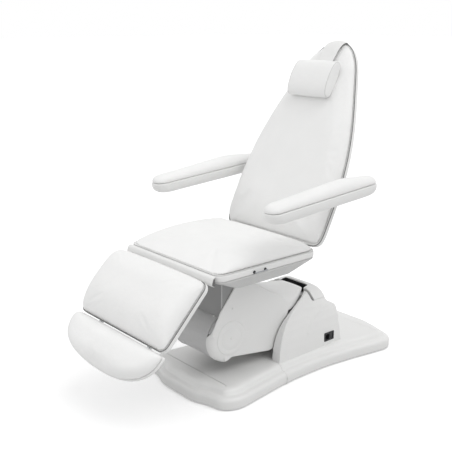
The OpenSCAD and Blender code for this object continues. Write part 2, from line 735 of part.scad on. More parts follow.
// Carrier: column, shroud and seat, kept level
board_z = seat_z - seat_board_t;
pan_z = board_z - pan_h;
frame_t = 5;
rail_z = board_z - frame_t;
seat_y = -seat_front + seat_l / 2;
column_w = 64;
column_top_w = 120;
module carrier_column() color(steel) difference() {
    union() {
        for (x = [-1, 1]) {
            across([
                [hub[0] - column_w / 2, hub_low[1]], [hub[0] + column_w / 2, hub_low[1]],
                [hub[0] + column_w / 2, hub[1] + column_w], [hub[0] + column_top_w / 2, rail_z],
                [hub[0] - column_w / 2, rail_z], [hub[0] - column_w / 2, hub[1]]
            ], column_t, x * (column_in + column_t / 2));
            bar_x(x * (column_in + column_t / 2) - column_t / 2,
                x * (column_in + column_t / 2) + column_t / 2, hub_low[0], hub_low[1], 2 * link_eye_r);
        }
        translate([-column_in - cut, hub[0] - column_w / 2, hub[1] + 2 * eye_r])
            cube([2 * (column_in + cut), column_t / 2, rail_z - hub[1] - 2 * eye_r]);
    }
    bar_x(-mast_in, mast_in, hub[0], hub[1], bore_d);
    bar_x(-mast_in, mast_in, hub_low[0], hub_low[1], shaft_d);
}
module carrier_shaft() shaft(hub_low, column_in + column_t);

shroud_wall = 4;
// The arc of the shroud's round wall, in degrees about the hub
shroud_from = 112;
shroud_to = 258;
// Height of the panel's lower edge above the hub
panel_low = 94;
shroud_step = 4;
shroud_r = drum_r - shroud_step;
panel_back = 46;
module carrier_shroud() color(white) union() {
    // Round wall of the nose
    across(concat(
        arc(hub[0], hub[1], shroud_r, shroud_to, shroud_from, 16),
        arc(hub[0], hub[1], shroud_r - shroud_wall, shroud_from, shroud_to, 16)
    ), drum_w);
    // Recessed panel above it
    across([
        [hub[0] - panel_back, hub[1] + panel_low], [hub[0] - panel_back, pan_z - seam],
        [hub[0] - panel_back + shroud_wall, pan_z - seam],
        [hub[0] - panel_back + shroud_wall, hub[1] + panel_low]
    ], panel_w);
}

pan_lip = 2;
// Distance of the tray's flat bottom behind the seat's middle
pan_shift = 45;
module pan_hull(d, up) {
    hull() {
        translate([0, seat_y, board_z - frame_t]) rounded_plate(seat_l - 2 * (pan_lip + d),
            seat_w - 2 * (pan_lip + d), seat_corner_r - d, frame_t + up);
        translate([0, seat_y + pan_shift, pan_z + d])
            rounded_plate(pan_bottom_l - 2 * d, pan_bottom_w - 2 * d, seat_corner_r - d, pan_wall / 2);
    }
}
lug_x = 150;
lug_t = 12;
lug_gap = 2;
// How far a lug stays inside its eye's top and under the frame's top
lug_step = 1.3;
lug_under = 0.5;
eye_x = lug_x + lug_t + lug_gap;
eye_span = 2 * (lug_t + lug_gap);
hinge_pin_d = 16;
hinge_eye_r = 13;
hinge_w = 60;
// The hinges' places: distances out from the seat's ends and down from its sewn edge
leg_axis_out = 12;
leg_axis_down = 38;
back_axis_out = 19;
back_axis_down = 12.4;
leg_axis = [-seat_front - leg_axis_out, seat_z - leg_axis_down];
back_axis = [seat_l - seat_front + back_axis_out, seat_z - back_axis_down];
column_room = 4;
module seat_pan() color(white) difference() {
    pan_hull(0, 0);
    pan_hull(pan_wall, cut);
    translate([-column_in - column_t - column_room, hub[0] - column_w / 2 - column_room, pan_z - cut])
        cube([2 * (column_in + column_t + column_room), column_w + column_top_w / 2, pan_wall + 2 * cut]);
    for (x = [-1, 1])
        translate([x * (lug_x + lug_t) - hinge_w / 2, -seat_front - hinge_w, rail_z - 3 * frame_t])
            cube([hinge_w, 2 * seat_l, pan_h]);
}
module hinge_lug(x, axis, inward) {
    across([
        [axis[0], axis[1] + hinge_eye_r - lug_step], [axis[0], axis[1] - hinge_eye_r],
        [axis[0] + inward, rail_z - 2 * frame_t], [axis[0] + inward, board_z - lug_under]
    ], lug_t, x);
    bar_x(x - lug_t / 2, x + lug_t / 2, axis[0], axis[1], 2 * hinge_eye_r);
}
module seat_frame() color(steel) {
    translate([0, seat_y, rail_z])
        rounded_plate(seat_l - 3 * frame_t, 2 * (eye_x + lug_t), frame_t, frame_t);
    for (s = [-1, 1]) {
        x = s * (lug_x + lug_t / 2);
        intersection() {
            hinge_lug(x, leg_axis, hinge_w);
            translate([-seat_w, -seat_front - hinge_w, 0]) cube([2 * seat_w, 2 * hinge_w, board_z]);
        }
        difference() {
            hinge_lug(x, back_axis, -hinge_w);
            // Room for the seat board's rear edge
            translate([-seat_w, -seat_front, board_z]) cube([2 * seat_w, seat_l + seam, seat_z]);
        }
        for (a = [leg_axis, back_axis])
            bar_x(s > 0 ? lug_x : -eye_x - lug_t - lug_gap, s > 0 ? eye_x + lug_t + lug_gap : -lug_x,
                a[0], a[1], hinge_pin_d);
    }
}
module seat_board() color(white)
    translate([0, seat_y, board_z]) rounded_plate(seat_l, seat_w, seat_corner_r, seat_board_t);
seat_edge_r = 110;
module seat_cushion() color(soft_white)
    translate([0, seat_y, seat_z + soft_gap])
        cushion(rounded_points(seat_l, seat_w, seat_corner_r, 6), seat_side_h, seat_crown, seat_edge_r);
flap_t = 9;
// The flap's side view: shares of its thickness and of the seat board's
flap_shares = [[0, 0.96], [1, 0.92], [1.7, 0.72], [1.7, 0.42], [1, 0.22], [0, 0.2]];
module seat_flap() color(soft_white)
    across([for (p = flap_shares) [-seat_front - soft_gap - p[0] * flap_t, board_z + p[1] * seat_board_t]],
        seat_w - seat_corner_r);
bail_d = 5;
bail_l = 58;
bail_out = 14;
bail_y = -seat_front + seat_l / 3;
module control_bail() color(steel) {
    for (y = [0, bail_l]) translate([seat_w / 2, bail_y + y, board_z + 2 * bail_d]) rotate([0, 90, 0])
        cylinder(h = bail_out, d = bail_d, $fn = 24);
    translate([seat_w / 2 + bail_out - bail_d / 2, bail_y - bail_d / 2, board_z + 2 * bail_d])
        rotate([-90, 0, 0]) cylinder(h = bail_l + bail_d, d = bail_d, $fn = 24);
}

// Backrest, in a frame that starts at its hinge and leans with it
module back_place() translate([0, back_axis[0], back_axis[1]]) rotate([-back_lean, 0, 0]) children();
module upright() rotate([90, 0, 0]) children();
back_start = 9;
back_y = -6;
// Half outline of the back, from the bottom: shares of half its width and of its length
back_shares = [
    [0.30, 0], [0.58, 0], [0.80, 0], [0.90, 0.002], [0.955, 0.011], [0.985, 0.026], [1, 0.06], [1, 0.20],
    [0.995, 0.27], [0.975, 0.35], [0.94, 0.43], [0.885, 0.51], [0.815, 0.59], [0.73, 0.67], [0.645, 0.745],
    [0.57, 0.81], [0.505, 0.865], [0.43, 0.91], [0.335, 0.95], [0.22, 0.979], [0.10, 0.996]
];
function back_points() = concat(
    [[0, 0]], [for (s = back_shares) [s[0] * back_w / 2, s[1] * back_l]], [[0, back_l]],
    [for (i = [len(back_shares) - 1:-1:0]) [-back_shares[i][0] * back_w / 2, back_shares[i][1] * back_l]]
);
// Room that the board leaves round the hinge eyes
eye_room = 1.5;
module back_board() color(white) back_place() difference() {
    translate([0, back_y + back_board_t / 2, back_start]) upright()
        linear_extrude(back_board_t) polygon(back_points());
    for (s = [-1, 1]) translate([s * (lug_x + eye_x + lug_t + lug_gap) / 2, 0, 0])
        bar_x(-eye_span / 2 - eye_room, eye_span / 2 + eye_room, 0, 0, 2 * (hinge_eye_r + eye_room));
}
back_edge_r = 100;
back_face = back_y - back_board_t / 2 - soft_gap;
module back_cushion() color(soft_white) back_place() translate([0, back_face, back_start]) upright()
    cushion(back_points(), back_side_h, back_crown, back_edge_r);
rest_axle_y = 30;
rest_axle_d = 24;
rest_axle_z = rest_pivot_up;
rest_gap = 20;
rest_in = back_w / 2 + rest_gap;
axle_in = 38;
axle_eye_d = 41;
// How far up the back its bars reach, as a share of its length
bar_share = 0.58;
back_bar_t = 24;
bar_back = back_y + back_board_t / 2;
bar_mid = eye_x + lug_t / 2;
module back_bar(s) color(steel) back_place() difference() {
    union() {
        across([
            [-hinge_eye_r, 0], [hinge_eye_r, -hinge_eye_r / 2], [bar_back + back_bar_t, back_start],
            [bar_back + back_bar_t, back_l * bar_share], [bar_back, back_l * bar_share],
            [bar_back, back_start - seam], [-hinge_eye_r, back_start - lug_gap]
        ], lug_t, s * bar_mid);
        bar_x(s * bar_mid - lug_t / 2, s * bar_mid + lug_t / 2, 0, 0, 2 * hinge_eye_r);
        bar_x(s * bar_mid - lug_t / 2, s * bar_mid + lug_t / 2, rest_axle_y, rest_axle_z, axle_eye_d);
    }
    bar_x(-seat_w, seat_w, 0, 0, hinge_pin_d + 2 * shaft_gap);
    bar_x(-seat_w, seat_w, rest_axle_y, rest_axle_z, rest_axle_d);
}
module back_bar_left() back_bar(1);
module back_bar_right() back_bar(-1);
module rest_axle() color(steel) back_place()
    bar_x(-rest_in - axle_in, rest_in + axle_in, rest_axle_y, rest_axle_z, rest_axle_d);

// Pillow: rings along X, shares of half its length and of its section
pillow_shares = [[-1, 0.80], [-0.99, 0.92], [-0.955, 0.975], [-0.86, 1], [-0.5, 1.01], [0, 1.015],
    [0.5, 1.01], [0.86, 1], [0.955, 0.975], [0.99, 0.92], [1, 0.80]];
pillow_n = 28;
// How square the pillow's section is: 1 is an ellipse
pillow_square_share = 0.8;
// Share of the back's crown that is left where the pillow hangs
hang_share = 0.58;
pillow_y = back_face - back_side_h - back_crown * hang_share - soft_gap - pillow_t / 2;
function signed_power(v, e) = sign(v) * pow(abs(v), e);
module pillow() color(soft_white) back_place() {
    n = pillow_n;
    k = len(pillow_shares);
    rings = [for (s = pillow_shares) for (i = [0:n - 1]) let (a = 360 * i / n) [
        s[0] * pillow_l / 2,
        pillow_y + s[1] * pillow_t / 2 * signed_power(cos(a), pillow_square_share) / pillow_shares[5][1],
        pillow_up + s[1] * pillow_h / 2 * signed_power(sin(a), pillow_square_share)
    ]];
    faces = concat(
        [for (i = [0:n - 1]) [n * k, (i + 1) % n, i]],
        walls(n, k),
        [for (i = [0:n - 1]) [n * k + 1, (k - 1) * n + i, (k - 1) * n + (i + 1) % n]]
    );
    ends = [for (x = [-1, 1]) [x * pillow_l / 2, pillow_y, pillow_up]];
    polyhedron(concat(rings, ends), faces);
}

// Strap over the back's top, following its outline; columns across X
strap_n = 8;
back_last = len(back_shares) - 1;
top_table = [for (i = [back_last:-1:back_last - strap_n]) back_shares[i]];
function back_top(x) = back_start + back_l * lookup(abs(x) * 2 / back_w, concat([[0, 1]], top_table));
// The strap's run: how far in front of the board's back, and how far below the outline's top.
// Shares of the whole padded thickness and of the cushion's side
strap_shares = [
    [0, 2.6], [0, 0.2], [0, 0], [0.03, -0.06], [0.08, -0.08], [0.35, -0.04], [0.47, 0.06],
    [0.60, 0.30], [0.71, 0.75], [0.81, 1.45], [0.85, 2.5], [0.925, 4.1]
];
strap_depth = back_board_t + back_side_h + back_crown * hang_share;
function strap_row(x, d) = [for (i = [0:len(strap_shares) - 1]) let (
        s = strap_shares[i],
        a = strap_shares[max(i - 1, 0)], b = strap_shares[min(i + 1, len(strap_shares) - 1)],
        t = unit([(a[0] - b[0]) * strap_depth, (a[1] - b[1]) * back_side_h])
    ) [
        x,
        bar_back + soft_gap - s[0] * (strap_depth + soft_gap) - t[1] * d,
        back_top(x) + strap_t / 2 - s[1] * back_side_h + t[0] * d
    ]];
module pillow_strap() color(soft_white) back_place() {
    xs = [for (i = [0:strap_n]) strap_w * (i / strap_n - 0.5)];
    m = len(strap_shares);
    rows = [for (x = xs) concat(strap_row(x, 0), [for (j = [m - 1:-1:0]) strap_row(x, -strap_t)[j]])];
    n = 2 * m;
    last = strap_n * n;
    faces = concat(
        [for (f = walls(n, strap_n + 1)) [f[2], f[1], f[0]]],
        [for (i = [0:m - 2]) [i, n - 2 - i, n - 1 - i]],
        [for (i = [0:m - 2]) [i, i + 1, n - 2 - i]],
        [for (i = [0:m - 2]) [last + i, last + n - 1 - i, last + n - 2 - i]],
        [for (i = [0:m - 2]) [last + i, last + n - 2 - i, last + i + 1]]
    );
    polyhedron([for (r = rows) each r], faces);
}

// Arm rests, each turning on the axle's end
function back_point(y, z) = [
    back_axis[0] + y * cos(back_lean) + z * sin(back_lean),
    back_axis[1] - y * sin(back_lean) + z * cos(back_lean)
];
rest_axis = back_point(rest_axle_y, rest_axle_z);
// An arm rest's frame: the middle of the seam between its shell and its pad
module rest_place(s) translate([s * (rest_in + rest_w / 2), rest_axis[0], rest_axis[1]])
    rotate([rest_slope, 0, 0]) translate([0, rest_tail - rest_l / 2, rest_shell_h / 2]) children();
rest_end_r = rest_w / 2 - 1;
rest_step = 6;
rest_taper = 40;
// The shell's levels from its keel up: radius as a share of the end's, lower and upper height
// as shares of the shell's depth
rest_keel_share = [0.6, 0, 0.2];
rest_belly_share = [0.93, 0.3, 0.6];
rest_rim_share = [1, 0.55, 1];
module rest_level(y, share) translate([0, y, rest_shell_h * share[1]])
    cylinder(h = rest_shell_h * (share[2] - share[1]), r = rest_end_r * share[0], $fn = 32);
module rest_shell(s) color(white) difference() {
    rest_place(s) translate([0, 0, -rest_shell_h]) hull() {
        for (y = [-1, 1]) {
            rest_level(y * (rest_l / 2 - rest_end_r), rest_rim_share);
            rest_level(y * (rest_l / 2 - rest_end_r - rest_step), rest_belly_share);
            rest_level(y * (rest_l / 2 - rest_end_r - rest_taper), rest_keel_share);
        }
    }
    bar_x(-rest_in - axle_in - seam, rest_in + axle_in + seam,
        rest_axis[0], rest_axis[1], rest_axle_d + 2 * shaft_gap);
}
module rest_shell_left() rest_shell(1);
module rest_shell_right() rest_shell(-1);
rest_crown = 11;
rest_edge_r = 34;
// How a pad's height changes along its length, from the front
rest_arch_shares = [[0, 0.78], [0.3, 0.88], [0.48, 1], [0.66, 1.1], [0.76, 1.03], [0.86, 0.88], [1, 0.72]];
module rest_pad(s) color(soft_white) rest_place(s) translate([0, 0, soft_gap])
    cushion(rounded_points(rest_l, rest_w, rest_end_r, 6), rest_pad_h - rest_crown, rest_crown, rest_edge_r,
        rest_arch_shares);
module rest_pad_left() rest_pad(1);
module rest_pad_right() rest_pad(-1);

// Leg rest, in a frame that starts at its hinge
module leg_place() translate([0, leg_axis[0], leg_axis[1]]) rotate([leg_pitch, 0, 0]) children();
leg_rise = 37;
leg_step = 7;
leg_corner_r = 34;
sleeve_wall = 4;
sleeve_d = rod_d + 2 * sleeve_wall;
sleeve_x = eye_x + lug_t / 2;
sleeve_z = leg_rise - leg_board_t - sleeve_d / 2;
sleeve_from = 34;
leg_mid = -leg_step - leg_l / 2;
leg_inset = 5;
leg_edge_r = 95;
sleeve_step = 6;
module leg_board() color(white) leg_place()
    translate([0, leg_mid - leg_inset, leg_rise - leg_board_t])
        rounded_plate(leg_l - 2 * leg_inset, leg_w, leg_corner_r, leg_board_t);
module leg_cushion() color(soft_white) leg_place() translate([0, leg_mid, leg_rise + soft_gap])
    cushion(rounded_points(leg_l, leg_w, leg_corner_r, 6), leg_side_h, leg_crown, leg_edge_r);
module leg_guide(s) color(steel) leg_place() difference() {
    union() {
        translate([s * sleeve_x, -sleeve_from, sleeve_z]) rotate([90, 0, 0])
            cylinder(h = leg_l - sleeve_from, d = sleeve_d);
        across([
            [0, hinge_eye_r], [0, -hinge_eye_r], [-sleeve_from - rod_d, sleeve_z - sleeve_d / 2],
            [-sleeve_from - rod_d, leg_rise - leg_board_t],
            [-leg_step - 2 * leg_inset, leg_rise - leg_board_t]
        ], lug_t, s * sleeve_x);
        bar_x(s * sleeve_x - lug_t / 2, s * sleeve_x + lug_t / 2, 0, 0, 2 * hinge_eye_r);
    }
    bar_x(-seat_w, seat_w, 0, 0, hinge_pin_d + 2 * shaft_gap);
    translate([s * sleeve_x, -sleeve_from - sleeve_step, sleeve_z]) rotate([90, 0, 0])
        cylinder(h = leg_l, d = rod_d + 2 * shaft_gap);
}
module leg_guide_left() leg_guide(1);
module leg_guide_right() leg_guide(-1);

// Foot section, sliding on two rods
foot_y = -leg_step - leg_l - foot_gap;
foot_board_z = sleeve_z + rod_d / 2;
foot_edge = 12;
foot_n = 56;
foot_inset = 2;
foot_edge_r = 55;
// How square the foot section's outline is on its upper and its lower side: 1 is an ellipse
foot_square_shares = [0.3, 0.80];
function foot_points() = [for (i = [0:foot_n - 1]) let (
        a = 360 * (i + 0.5) / foot_n,
        e = foot_square_shares[sin(a) > 0 ? 0 : 1]
    ) [
        leg_w / 2 * signed_power(cos(a), e),
        foot_y - foot_edge + signed_power(sin(a), e) * (sin(a) > 0 ? foot_edge : foot_l - foot_edge)
    ]];
module foot_board() color(white) leg_place() translate([0, 0, foot_board_z])
    linear_extrude(foot_board_t) polygon(inset(foot_points(), foot_inset));
module foot_cushion() color(soft_white) leg_place() translate([0, 0, foot_board_z + foot_board_t + soft_gap])
    cushion(foot_points(), foot_side_h, foot_crown, foot_edge_r);
module foot_rod(s) color(steel) leg_place()
    translate([s * sleeve_x, -sleeve_from - 2 * sleeve_step, sleeve_z]) rotate([90, 0, 0])
        cylinder(h = -foot_y + foot_l / 2 - sleeve_from - 2 * sleeve_step, d = rod_d);
module foot_rod_left() foot_rod(1);
module foot_rod_right() foot_rod(-1);

floor_plate();
mast_left();
mast_right();
mast_shaft_upper();
mast_shaft_lower();
motor_shaft();
base_cover_front();
base_cover_rear();
tower_side(1);  // tower_side_left
tower_side(-1);  // tower_side_right
tower_back();
mains_inlet();
inlet_rocker();
control_box();
lift_bars();
arm_cover_left();
arm_cover_right();
arm_hood();
arm_belly();
hub_shaft();
hub_caps();
parallel_link();
lift_motor();
lift_rod();
carrier_column();
carrier_shroud();
carrier_shaft();
seat_frame();
seat_pan();
seat_board();
seat_cushion();
seat_flap();
control_bail();
back_bar_left();
back_bar_right();
rest_axle();
back_board();
back_cushion();
pillow();
pillow_strap();
rest_shell_left();
rest_pad_left();
rest_shell_right();
rest_pad_right();
leg_guide_left();
leg_guide_right();
leg_board();
leg_cushion();
foot_rod_left();
foot_rod_right();
foot_board();
foot_cushion();
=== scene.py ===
"""Electric examination table: upholstery, moulded covers, materials, light and camera.
Metres, in the CAD's frame: +Z up, the front faces -Y, +X is the sitter's left."""
import math
import bmesh
import bpy
import numpy as np
from mathutils import Matrix, Vector
from mathutils.bvhtree import BVHTree


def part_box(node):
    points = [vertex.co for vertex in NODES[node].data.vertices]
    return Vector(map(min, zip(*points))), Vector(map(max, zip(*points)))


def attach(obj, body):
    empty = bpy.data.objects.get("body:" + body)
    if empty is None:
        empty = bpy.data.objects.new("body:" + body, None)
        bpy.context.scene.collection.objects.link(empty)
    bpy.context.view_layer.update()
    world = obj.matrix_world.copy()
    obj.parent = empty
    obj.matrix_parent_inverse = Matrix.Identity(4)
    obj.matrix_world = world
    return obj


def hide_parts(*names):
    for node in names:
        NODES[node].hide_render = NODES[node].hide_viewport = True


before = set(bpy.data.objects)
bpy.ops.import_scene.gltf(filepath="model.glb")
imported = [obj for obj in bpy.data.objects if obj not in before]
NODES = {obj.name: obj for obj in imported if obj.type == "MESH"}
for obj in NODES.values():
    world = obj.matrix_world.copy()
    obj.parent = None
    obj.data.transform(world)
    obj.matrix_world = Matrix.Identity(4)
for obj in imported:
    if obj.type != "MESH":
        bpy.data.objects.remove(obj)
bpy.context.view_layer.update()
scene = bpy.context.scene

# Sizes and places repeated from the part's source, in metres
HUB = np.array([-0.383, 0.247])
MAST = np.array([0.134, 0.290])
RUN = float(np.linalg.norm(HUB - MAST))
NOSE_R = 0.110
CASING = 0.140
BASE_SPLIT = -0.155
PLATE_T = 0.010
TOWER_FRONT, TOWER_L, TOWER_W, TOWER_H = -0.151, 0.412, 0.390, 0.346
CHANNEL_HALF = 0.146
TOWER_SPLIT = 0.113
SEAT_L, SEAT_W, SEAT_R = 0.540, 0.600, 0.042
LEG_L, LEG_W, LEG_R = 0.305, 0.590, 0.034
BACK_L, BACK_W = 0.935, 0.600
REST_L, REST_W, REST_R = 0.620, 0.088, 0.0431
REST_X, REST_Y = 0.364, -0.230
SIDES = ((1, "left"), (-1, "right"))


def turned(at, degrees):
    """A frame at a place, turned about X."""
    return Matrix.Translation(at) @ Matrix.Rotation(math.radians(degrees), 4, "X")


def raised(matrix, z):
    return matrix @ Matrix.Translation((0, 0, z))


SEAT = turned((0, -0.313, 0.600), 0)
LEG = turned((0, -0.595, 0.562), 46)
BACK = turned((0, -0.024, 0.5876), -27)
# The back's own plane: x across, y up the back, z out of its padded face
PLANE = BACK @ turned((0, -0.0163, 0.009), 90)
REST = turned((0, 0.137111, 0.837718), 4)
WORLD = Matrix.Identity(4)


# Camera and light
CAMERA_AT = (2.3553, -2.3019, 1.5252)
CAMERA_DOWN, CAMERA_TURN = 15.16, 49.51
LENS, SENSOR_W = 60.4, 36
SIGHT = 200
SKY = 0.60
# Name, energy, then elevation, azimuth and spread in degrees
LAMPS = [("key", 1.10, 62, 112, 50), ("fill", 0.62, 48, -28, 70)]


def aim():
    data = bpy.data.cameras.new("camera")
    data.lens = LENS
    data.sensor_width = SENSOR_W
    data.clip_end = SIGHT
    cam = bpy.data.objects.new("camera", data)
    cam.location = CAMERA_AT
    cam.rotation_euler = (math.radians(90 - CAMERA_DOWN), 0, math.radians(CAMERA_TURN))
    scene.collection.objects.link(cam)
    scene.camera = cam


def lamp(name, energy, elevation, azimuth, spread):
    data = bpy.data.lights.new(name, "SUN")
    data.energy = energy
    data.angle = math.radians(spread)
    sun = bpy.data.objects.new(name, data)
    sun.rotation_euler = (math.radians(90 - elevation), 0, math.radians(azimuth))
    scene.collection.objects.link(sun)


def sky(level):
    """Even light from all round, which the camera and mirror reflections see as plain white."""
    world = bpy.data.worlds.new("studio")
    scene.world = world
    world.use_nodes = True
    nt = world.node_tree
    nt.nodes.clear()
    out = nt.nodes.new("ShaderNodeOutputWorld")
    mix = nt.nodes.new("ShaderNodeMixShader")
    lit = nt.nodes.new("ShaderNodeBackground")
    lit.inputs[0].default_value = (level, level, level * 1.005, 1)
    seen = nt.nodes.new("ShaderNodeBackground")
    seen.inputs[0].default_value = (1, 1, 1, 1)
    path = nt.nodes.new("ShaderNodeLightPath")
    glossy = nt.nodes.new("ShaderNodeMath")
    glossy.operation = "MAXIMUM"
    nt.links.new(path.outputs["Is Camera Ray"], glossy.inputs[0])
    nt.links.new(path.outputs["Is Glossy Ray"], glossy.inputs[1])
    nt.links.new(glossy.outputs[0], mix.inputs[0])
    nt.links.new(lit.outputs[0], mix.inputs[1])
    nt.links.new(seen.outputs[0], mix.inputs[2])
    nt.links.new(mix.outputs[0], out.inputs[0])


aim()
sky(SKY)
for one in LAMPS:
    lamp(*one)
scene.view_settings.view_transform = "Standard"


# Materials
def shade(name, color, rough, bumps=(), metal=0.0, coat=0.0, spread=0.06, blotch=0.02,
          blotch_scale=9.0, spec=0.5, stretch=None):
    """A procedural surface. bumps: (kind, scale per metre, height in metres)."""
    m = bpy.data.materials.new(name)
    m.use_nodes = True
    nt = m.node_tree
    b = nt.nodes["Principled BSDF"]
    b.inputs["Metallic"].default_value = metal
    b.inputs["Coat Weight"].default_value = coat
    b.inputs["Coat Roughness"].default_value = 0.12
    b.inputs["Specular IOR Level"].default_value = spec
    co = nt.nodes.new("ShaderNodeTexCoord")
    source = co.outputs["Object"]
    if stretch:
        mp = nt.nodes.new("ShaderNodeMapping")
        mp.inputs["Scale"].default_value = stretch
        nt.links.new(source, mp.inputs["Vector"])
        source = mp.outputs["Vector"]

    def noise(scale, detail=3.0):
        n = nt.nodes.new("ShaderNodeTexNoise")
        n.inputs["Scale"].default_value = scale
        n.inputs["Detail"].default_value = detail
        nt.links.new(source, n.inputs["Vector"])
        return n.outputs["Fac"]

    def span(value, lo, hi):
        r = nt.nodes.new("ShaderNodeMapRange")
        r.inputs["From Min"].default_value = 0.3
        r.inputs["From Max"].default_value = 0.7
        r.inputs["To Min"].default_value = lo
        r.inputs["To Max"].default_value = hi
        nt.links.new(value, r.inputs["Value"])
        return r.outputs["Result"]

    mix = nt.nodes.new("ShaderNodeMix")
    mix.data_type = "RGBA"
    mix.inputs["A"].default_value = (*[c * (1 - blotch) for c in color], 1)
    mix.inputs["B"].default_value = (*[min(1, c * (1 + blotch)) for c in color], 1)
    nt.links.new(span(noise(blotch_scale), 0, 1), mix.inputs["Factor"])
    nt.links.new(mix.outputs["Result"], b.inputs["Base Color"])
    nt.links.new(span(noise(blotch_scale * 7), rough - spread, rough + spread), b.inputs["Roughness"])
    last = None
    for kind, scale, height in bumps:
        bump = nt.nodes.new("ShaderNodeBump")
        bump.inputs["Strength"].default_value = 1.0
        bump.inputs["Distance"].default_value = height
        if kind == "grain":
            v = nt.nodes.new("ShaderNodeTexVoronoi")
            v.feature = "SMOOTH_F1"
            v.inputs["Scale"].default_value = scale
            v.inputs["Smoothness"].default_value = 0.35
            nt.links.new(source, v.inputs["Vector"])
            value = v.outputs["Distance"]
        else:
            value = noise(scale, 4.0)
        nt.links.new(value, bump.inputs["Height"])
        if last:
            nt.links.new(last, bump.inputs["Normal"])
        last = bump.outputs["Normal"]
    if last:
        nt.links.new(last, b.inputs["Normal"])
    return m


LEATHER_GRAIN = ("grain", 950, 0.00012)
LEATHER = shade("white_leather", (0.86, 0.86, 0.852), 0.46,
                [("cloud", 26, 0.0016), ("cloud", 190, 0.00022), LEATHER_GRAIN], blotch=0.012, spec=0.42)
LEATHER_BAND = shade("white_leather_band", (0.81, 0.81, 0.80), 0.48,
                     [("cloud", 60, 0.0006), LEATHER_GRAIN], blotch=0.015, spec=0.42)
PIPING = shade("piping", (0.66, 0.66, 0.65), 0.5, [("grain", 1200, 0.0001)], blotch=0.03, blotch_scale=60)
# Painted shade: a dark grey that stands for the shade in seams and inside the flap's roll
SHADE_DARK = shade("painted_shade_dark", (0.14, 0.14, 0.14), 0.6, [("cloud", 900, 0.00005)], blotch=0.05,
               blotch_scale=60)
PLASTIC = shade("white_moulding", (0.80, 0.80, 0.79), 0.34, [("cloud", 420, 0.00003), ("cloud", 9, 0.0008)],
                coat=0.12, spread=0.05, blotch=0.012, blotch_scale=5)
BAND = shade("tower_band", (0.80, 0.80, 0.795), 0.42, [("cloud", 600, 0.00004)], spread=0.05)
# Grey plastic, made darker still to paint the shade on the drum under the seat
SHROUD_GREY_SHADE = shade("grey_moulding_and_shade", (0.55, 0.55, 0.55), 0.42, [("cloud", 600, 0.00005)], spread=0.05)
# Painted shade: the dark grey of the recessed panel under the seat's front
RECESS_SHADE = shade("painted_recess_shade", (0.30, 0.30, 0.30), 0.45, [("cloud", 600, 0.00005)], blotch=0.03)
# Painted shade: the seat pan is set darker than the white mouldings, for the shade under the seat
PAN_SHADE = shade("pan_moulding_shade", (0.58, 0.58, 0.575), 0.40, [("cloud", 500, 0.00004)], blotch=0.015)
PAINT = shade("frame_paint", (0.55, 0.55, 0.55), 0.38, [("cloud", 700, 0.00008)], coat=0.2, blotch=0.03,
              blotch_scale=20)
STEEL = shade("drawn_steel", (0.50, 0.51, 0.53), 0.30, [("cloud", 300, 0.00002)], metal=1.0, blotch=0.06,
              blotch_scale=40, stretch=(0.05, 1, 1))
ROD = shade("slide_rod", (0.58, 0.59, 0.60), 0.18, [("cloud", 500, 0.00001)], metal=1.0, blotch=0.04,
            blotch_scale=30)
CHROME = shade("chrome", (0.40, 0.41, 0.43), 0.16, [("cloud", 200, 0.00001)], metal=1.0, spread=0.03)
BLACK = shade("black_moulding", (0.022, 0.022, 0.024), 0.45, [("cloud", 1500, 0.00006)], blotch=0.12,
              blotch_scale=60)


def dress(material, *names):
    """Gives CAD nodes a finish, shaded smooth up to their edges."""
    for n in names:
        mesh = NODES[n].data
        mesh.materials.clear()
        mesh.materials.append(material)
        for p in mesh.polygons:
            p.use_smooth = True
        mesh.set_sharp_from_angle(angle=math.radians(32))


# Mesh helpers
def place(mesh, matrix, name, material, body, replaces=(), sharp=40):
    """Links a mesh, given in a local frame, as a piece that rides a body and may replace CAD nodes."""
    mesh.transform(matrix)
    for p in mesh.polygons:
        p.use_smooth = True
    mesh.set_sharp_from_angle(angle=math.radians(sharp))
    mesh.materials.clear()
    mesh.materials.append(material)
    o = bpy.data.objects.new(name, mesh)
    scene.collection.objects.link(o)
    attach(o, body)
    if replaces:
        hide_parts(*replaces)
    return o


def mesh_of(verts, faces):
    m = bpy.data.meshes.new("m")
    m.from_pydata([tuple(map(float, v)) for v in verts], [], faces)
    bm = bmesh.new()
    bm.from_mesh(m)
    bmesh.ops.recalc_face_normals(bm, faces=bm.faces)
    bm.to_mesh(m)
    bm.free()
    return m


def lofted(rings, close=True, caps=(True, True)):
    """Quads between rings of equal count; close joins each ring's ends, caps fill the first and last."""
    rings = np.asarray(rings, float)
    k, n = rings.shape[:2]
    faces = []
    for j in range(k - 1):
        for i in range(n if close else n - 1):
            a, b = j * n + i, j * n + (i + 1) % n
            faces.append((a, b, b + n, a + n))
    if caps[0]:
        faces.append(tuple(range(n - 1, -1, -1)))
    if caps[1]:
        faces.append(tuple(range((k - 1) * n, k * n)))
    return mesh_of(rings.reshape(-1, 3), faces)


def applied(mesh, *mods):
    """The mesh after modifiers, each (type, {settings})."""
    o = bpy.data.objects.new("work", mesh)
    scene.collection.objects.link(o)
    for i, (kind, settings) in enumerate(mods):
        md = o.modifiers.new(f"m{i}", kind)
        for key, value in settings.items():
            setattr(md, key, value)
    bpy.context.view_layer.update()
    out = bpy.data.meshes.new_from_object(o.evaluated_get(bpy.context.evaluated_depsgraph_get()))
    bpy.data.objects.remove(o)
    return out


def coords(mesh):
    co = np.zeros(len(mesh.vertices) * 3)
    mesh.vertices.foreach_get("co", co)
    return co.reshape(-1, 3)


def normals(mesh):
    no = np.zeros(len(mesh.vertices) * 3)
    mesh.vertices.foreach_get("normal", no)
    return no.reshape(-1, 3)


def set_coords(mesh, co):
    mesh.vertices.foreach_set("co", np.asarray(co, np.float64).ravel())
    mesh.update()


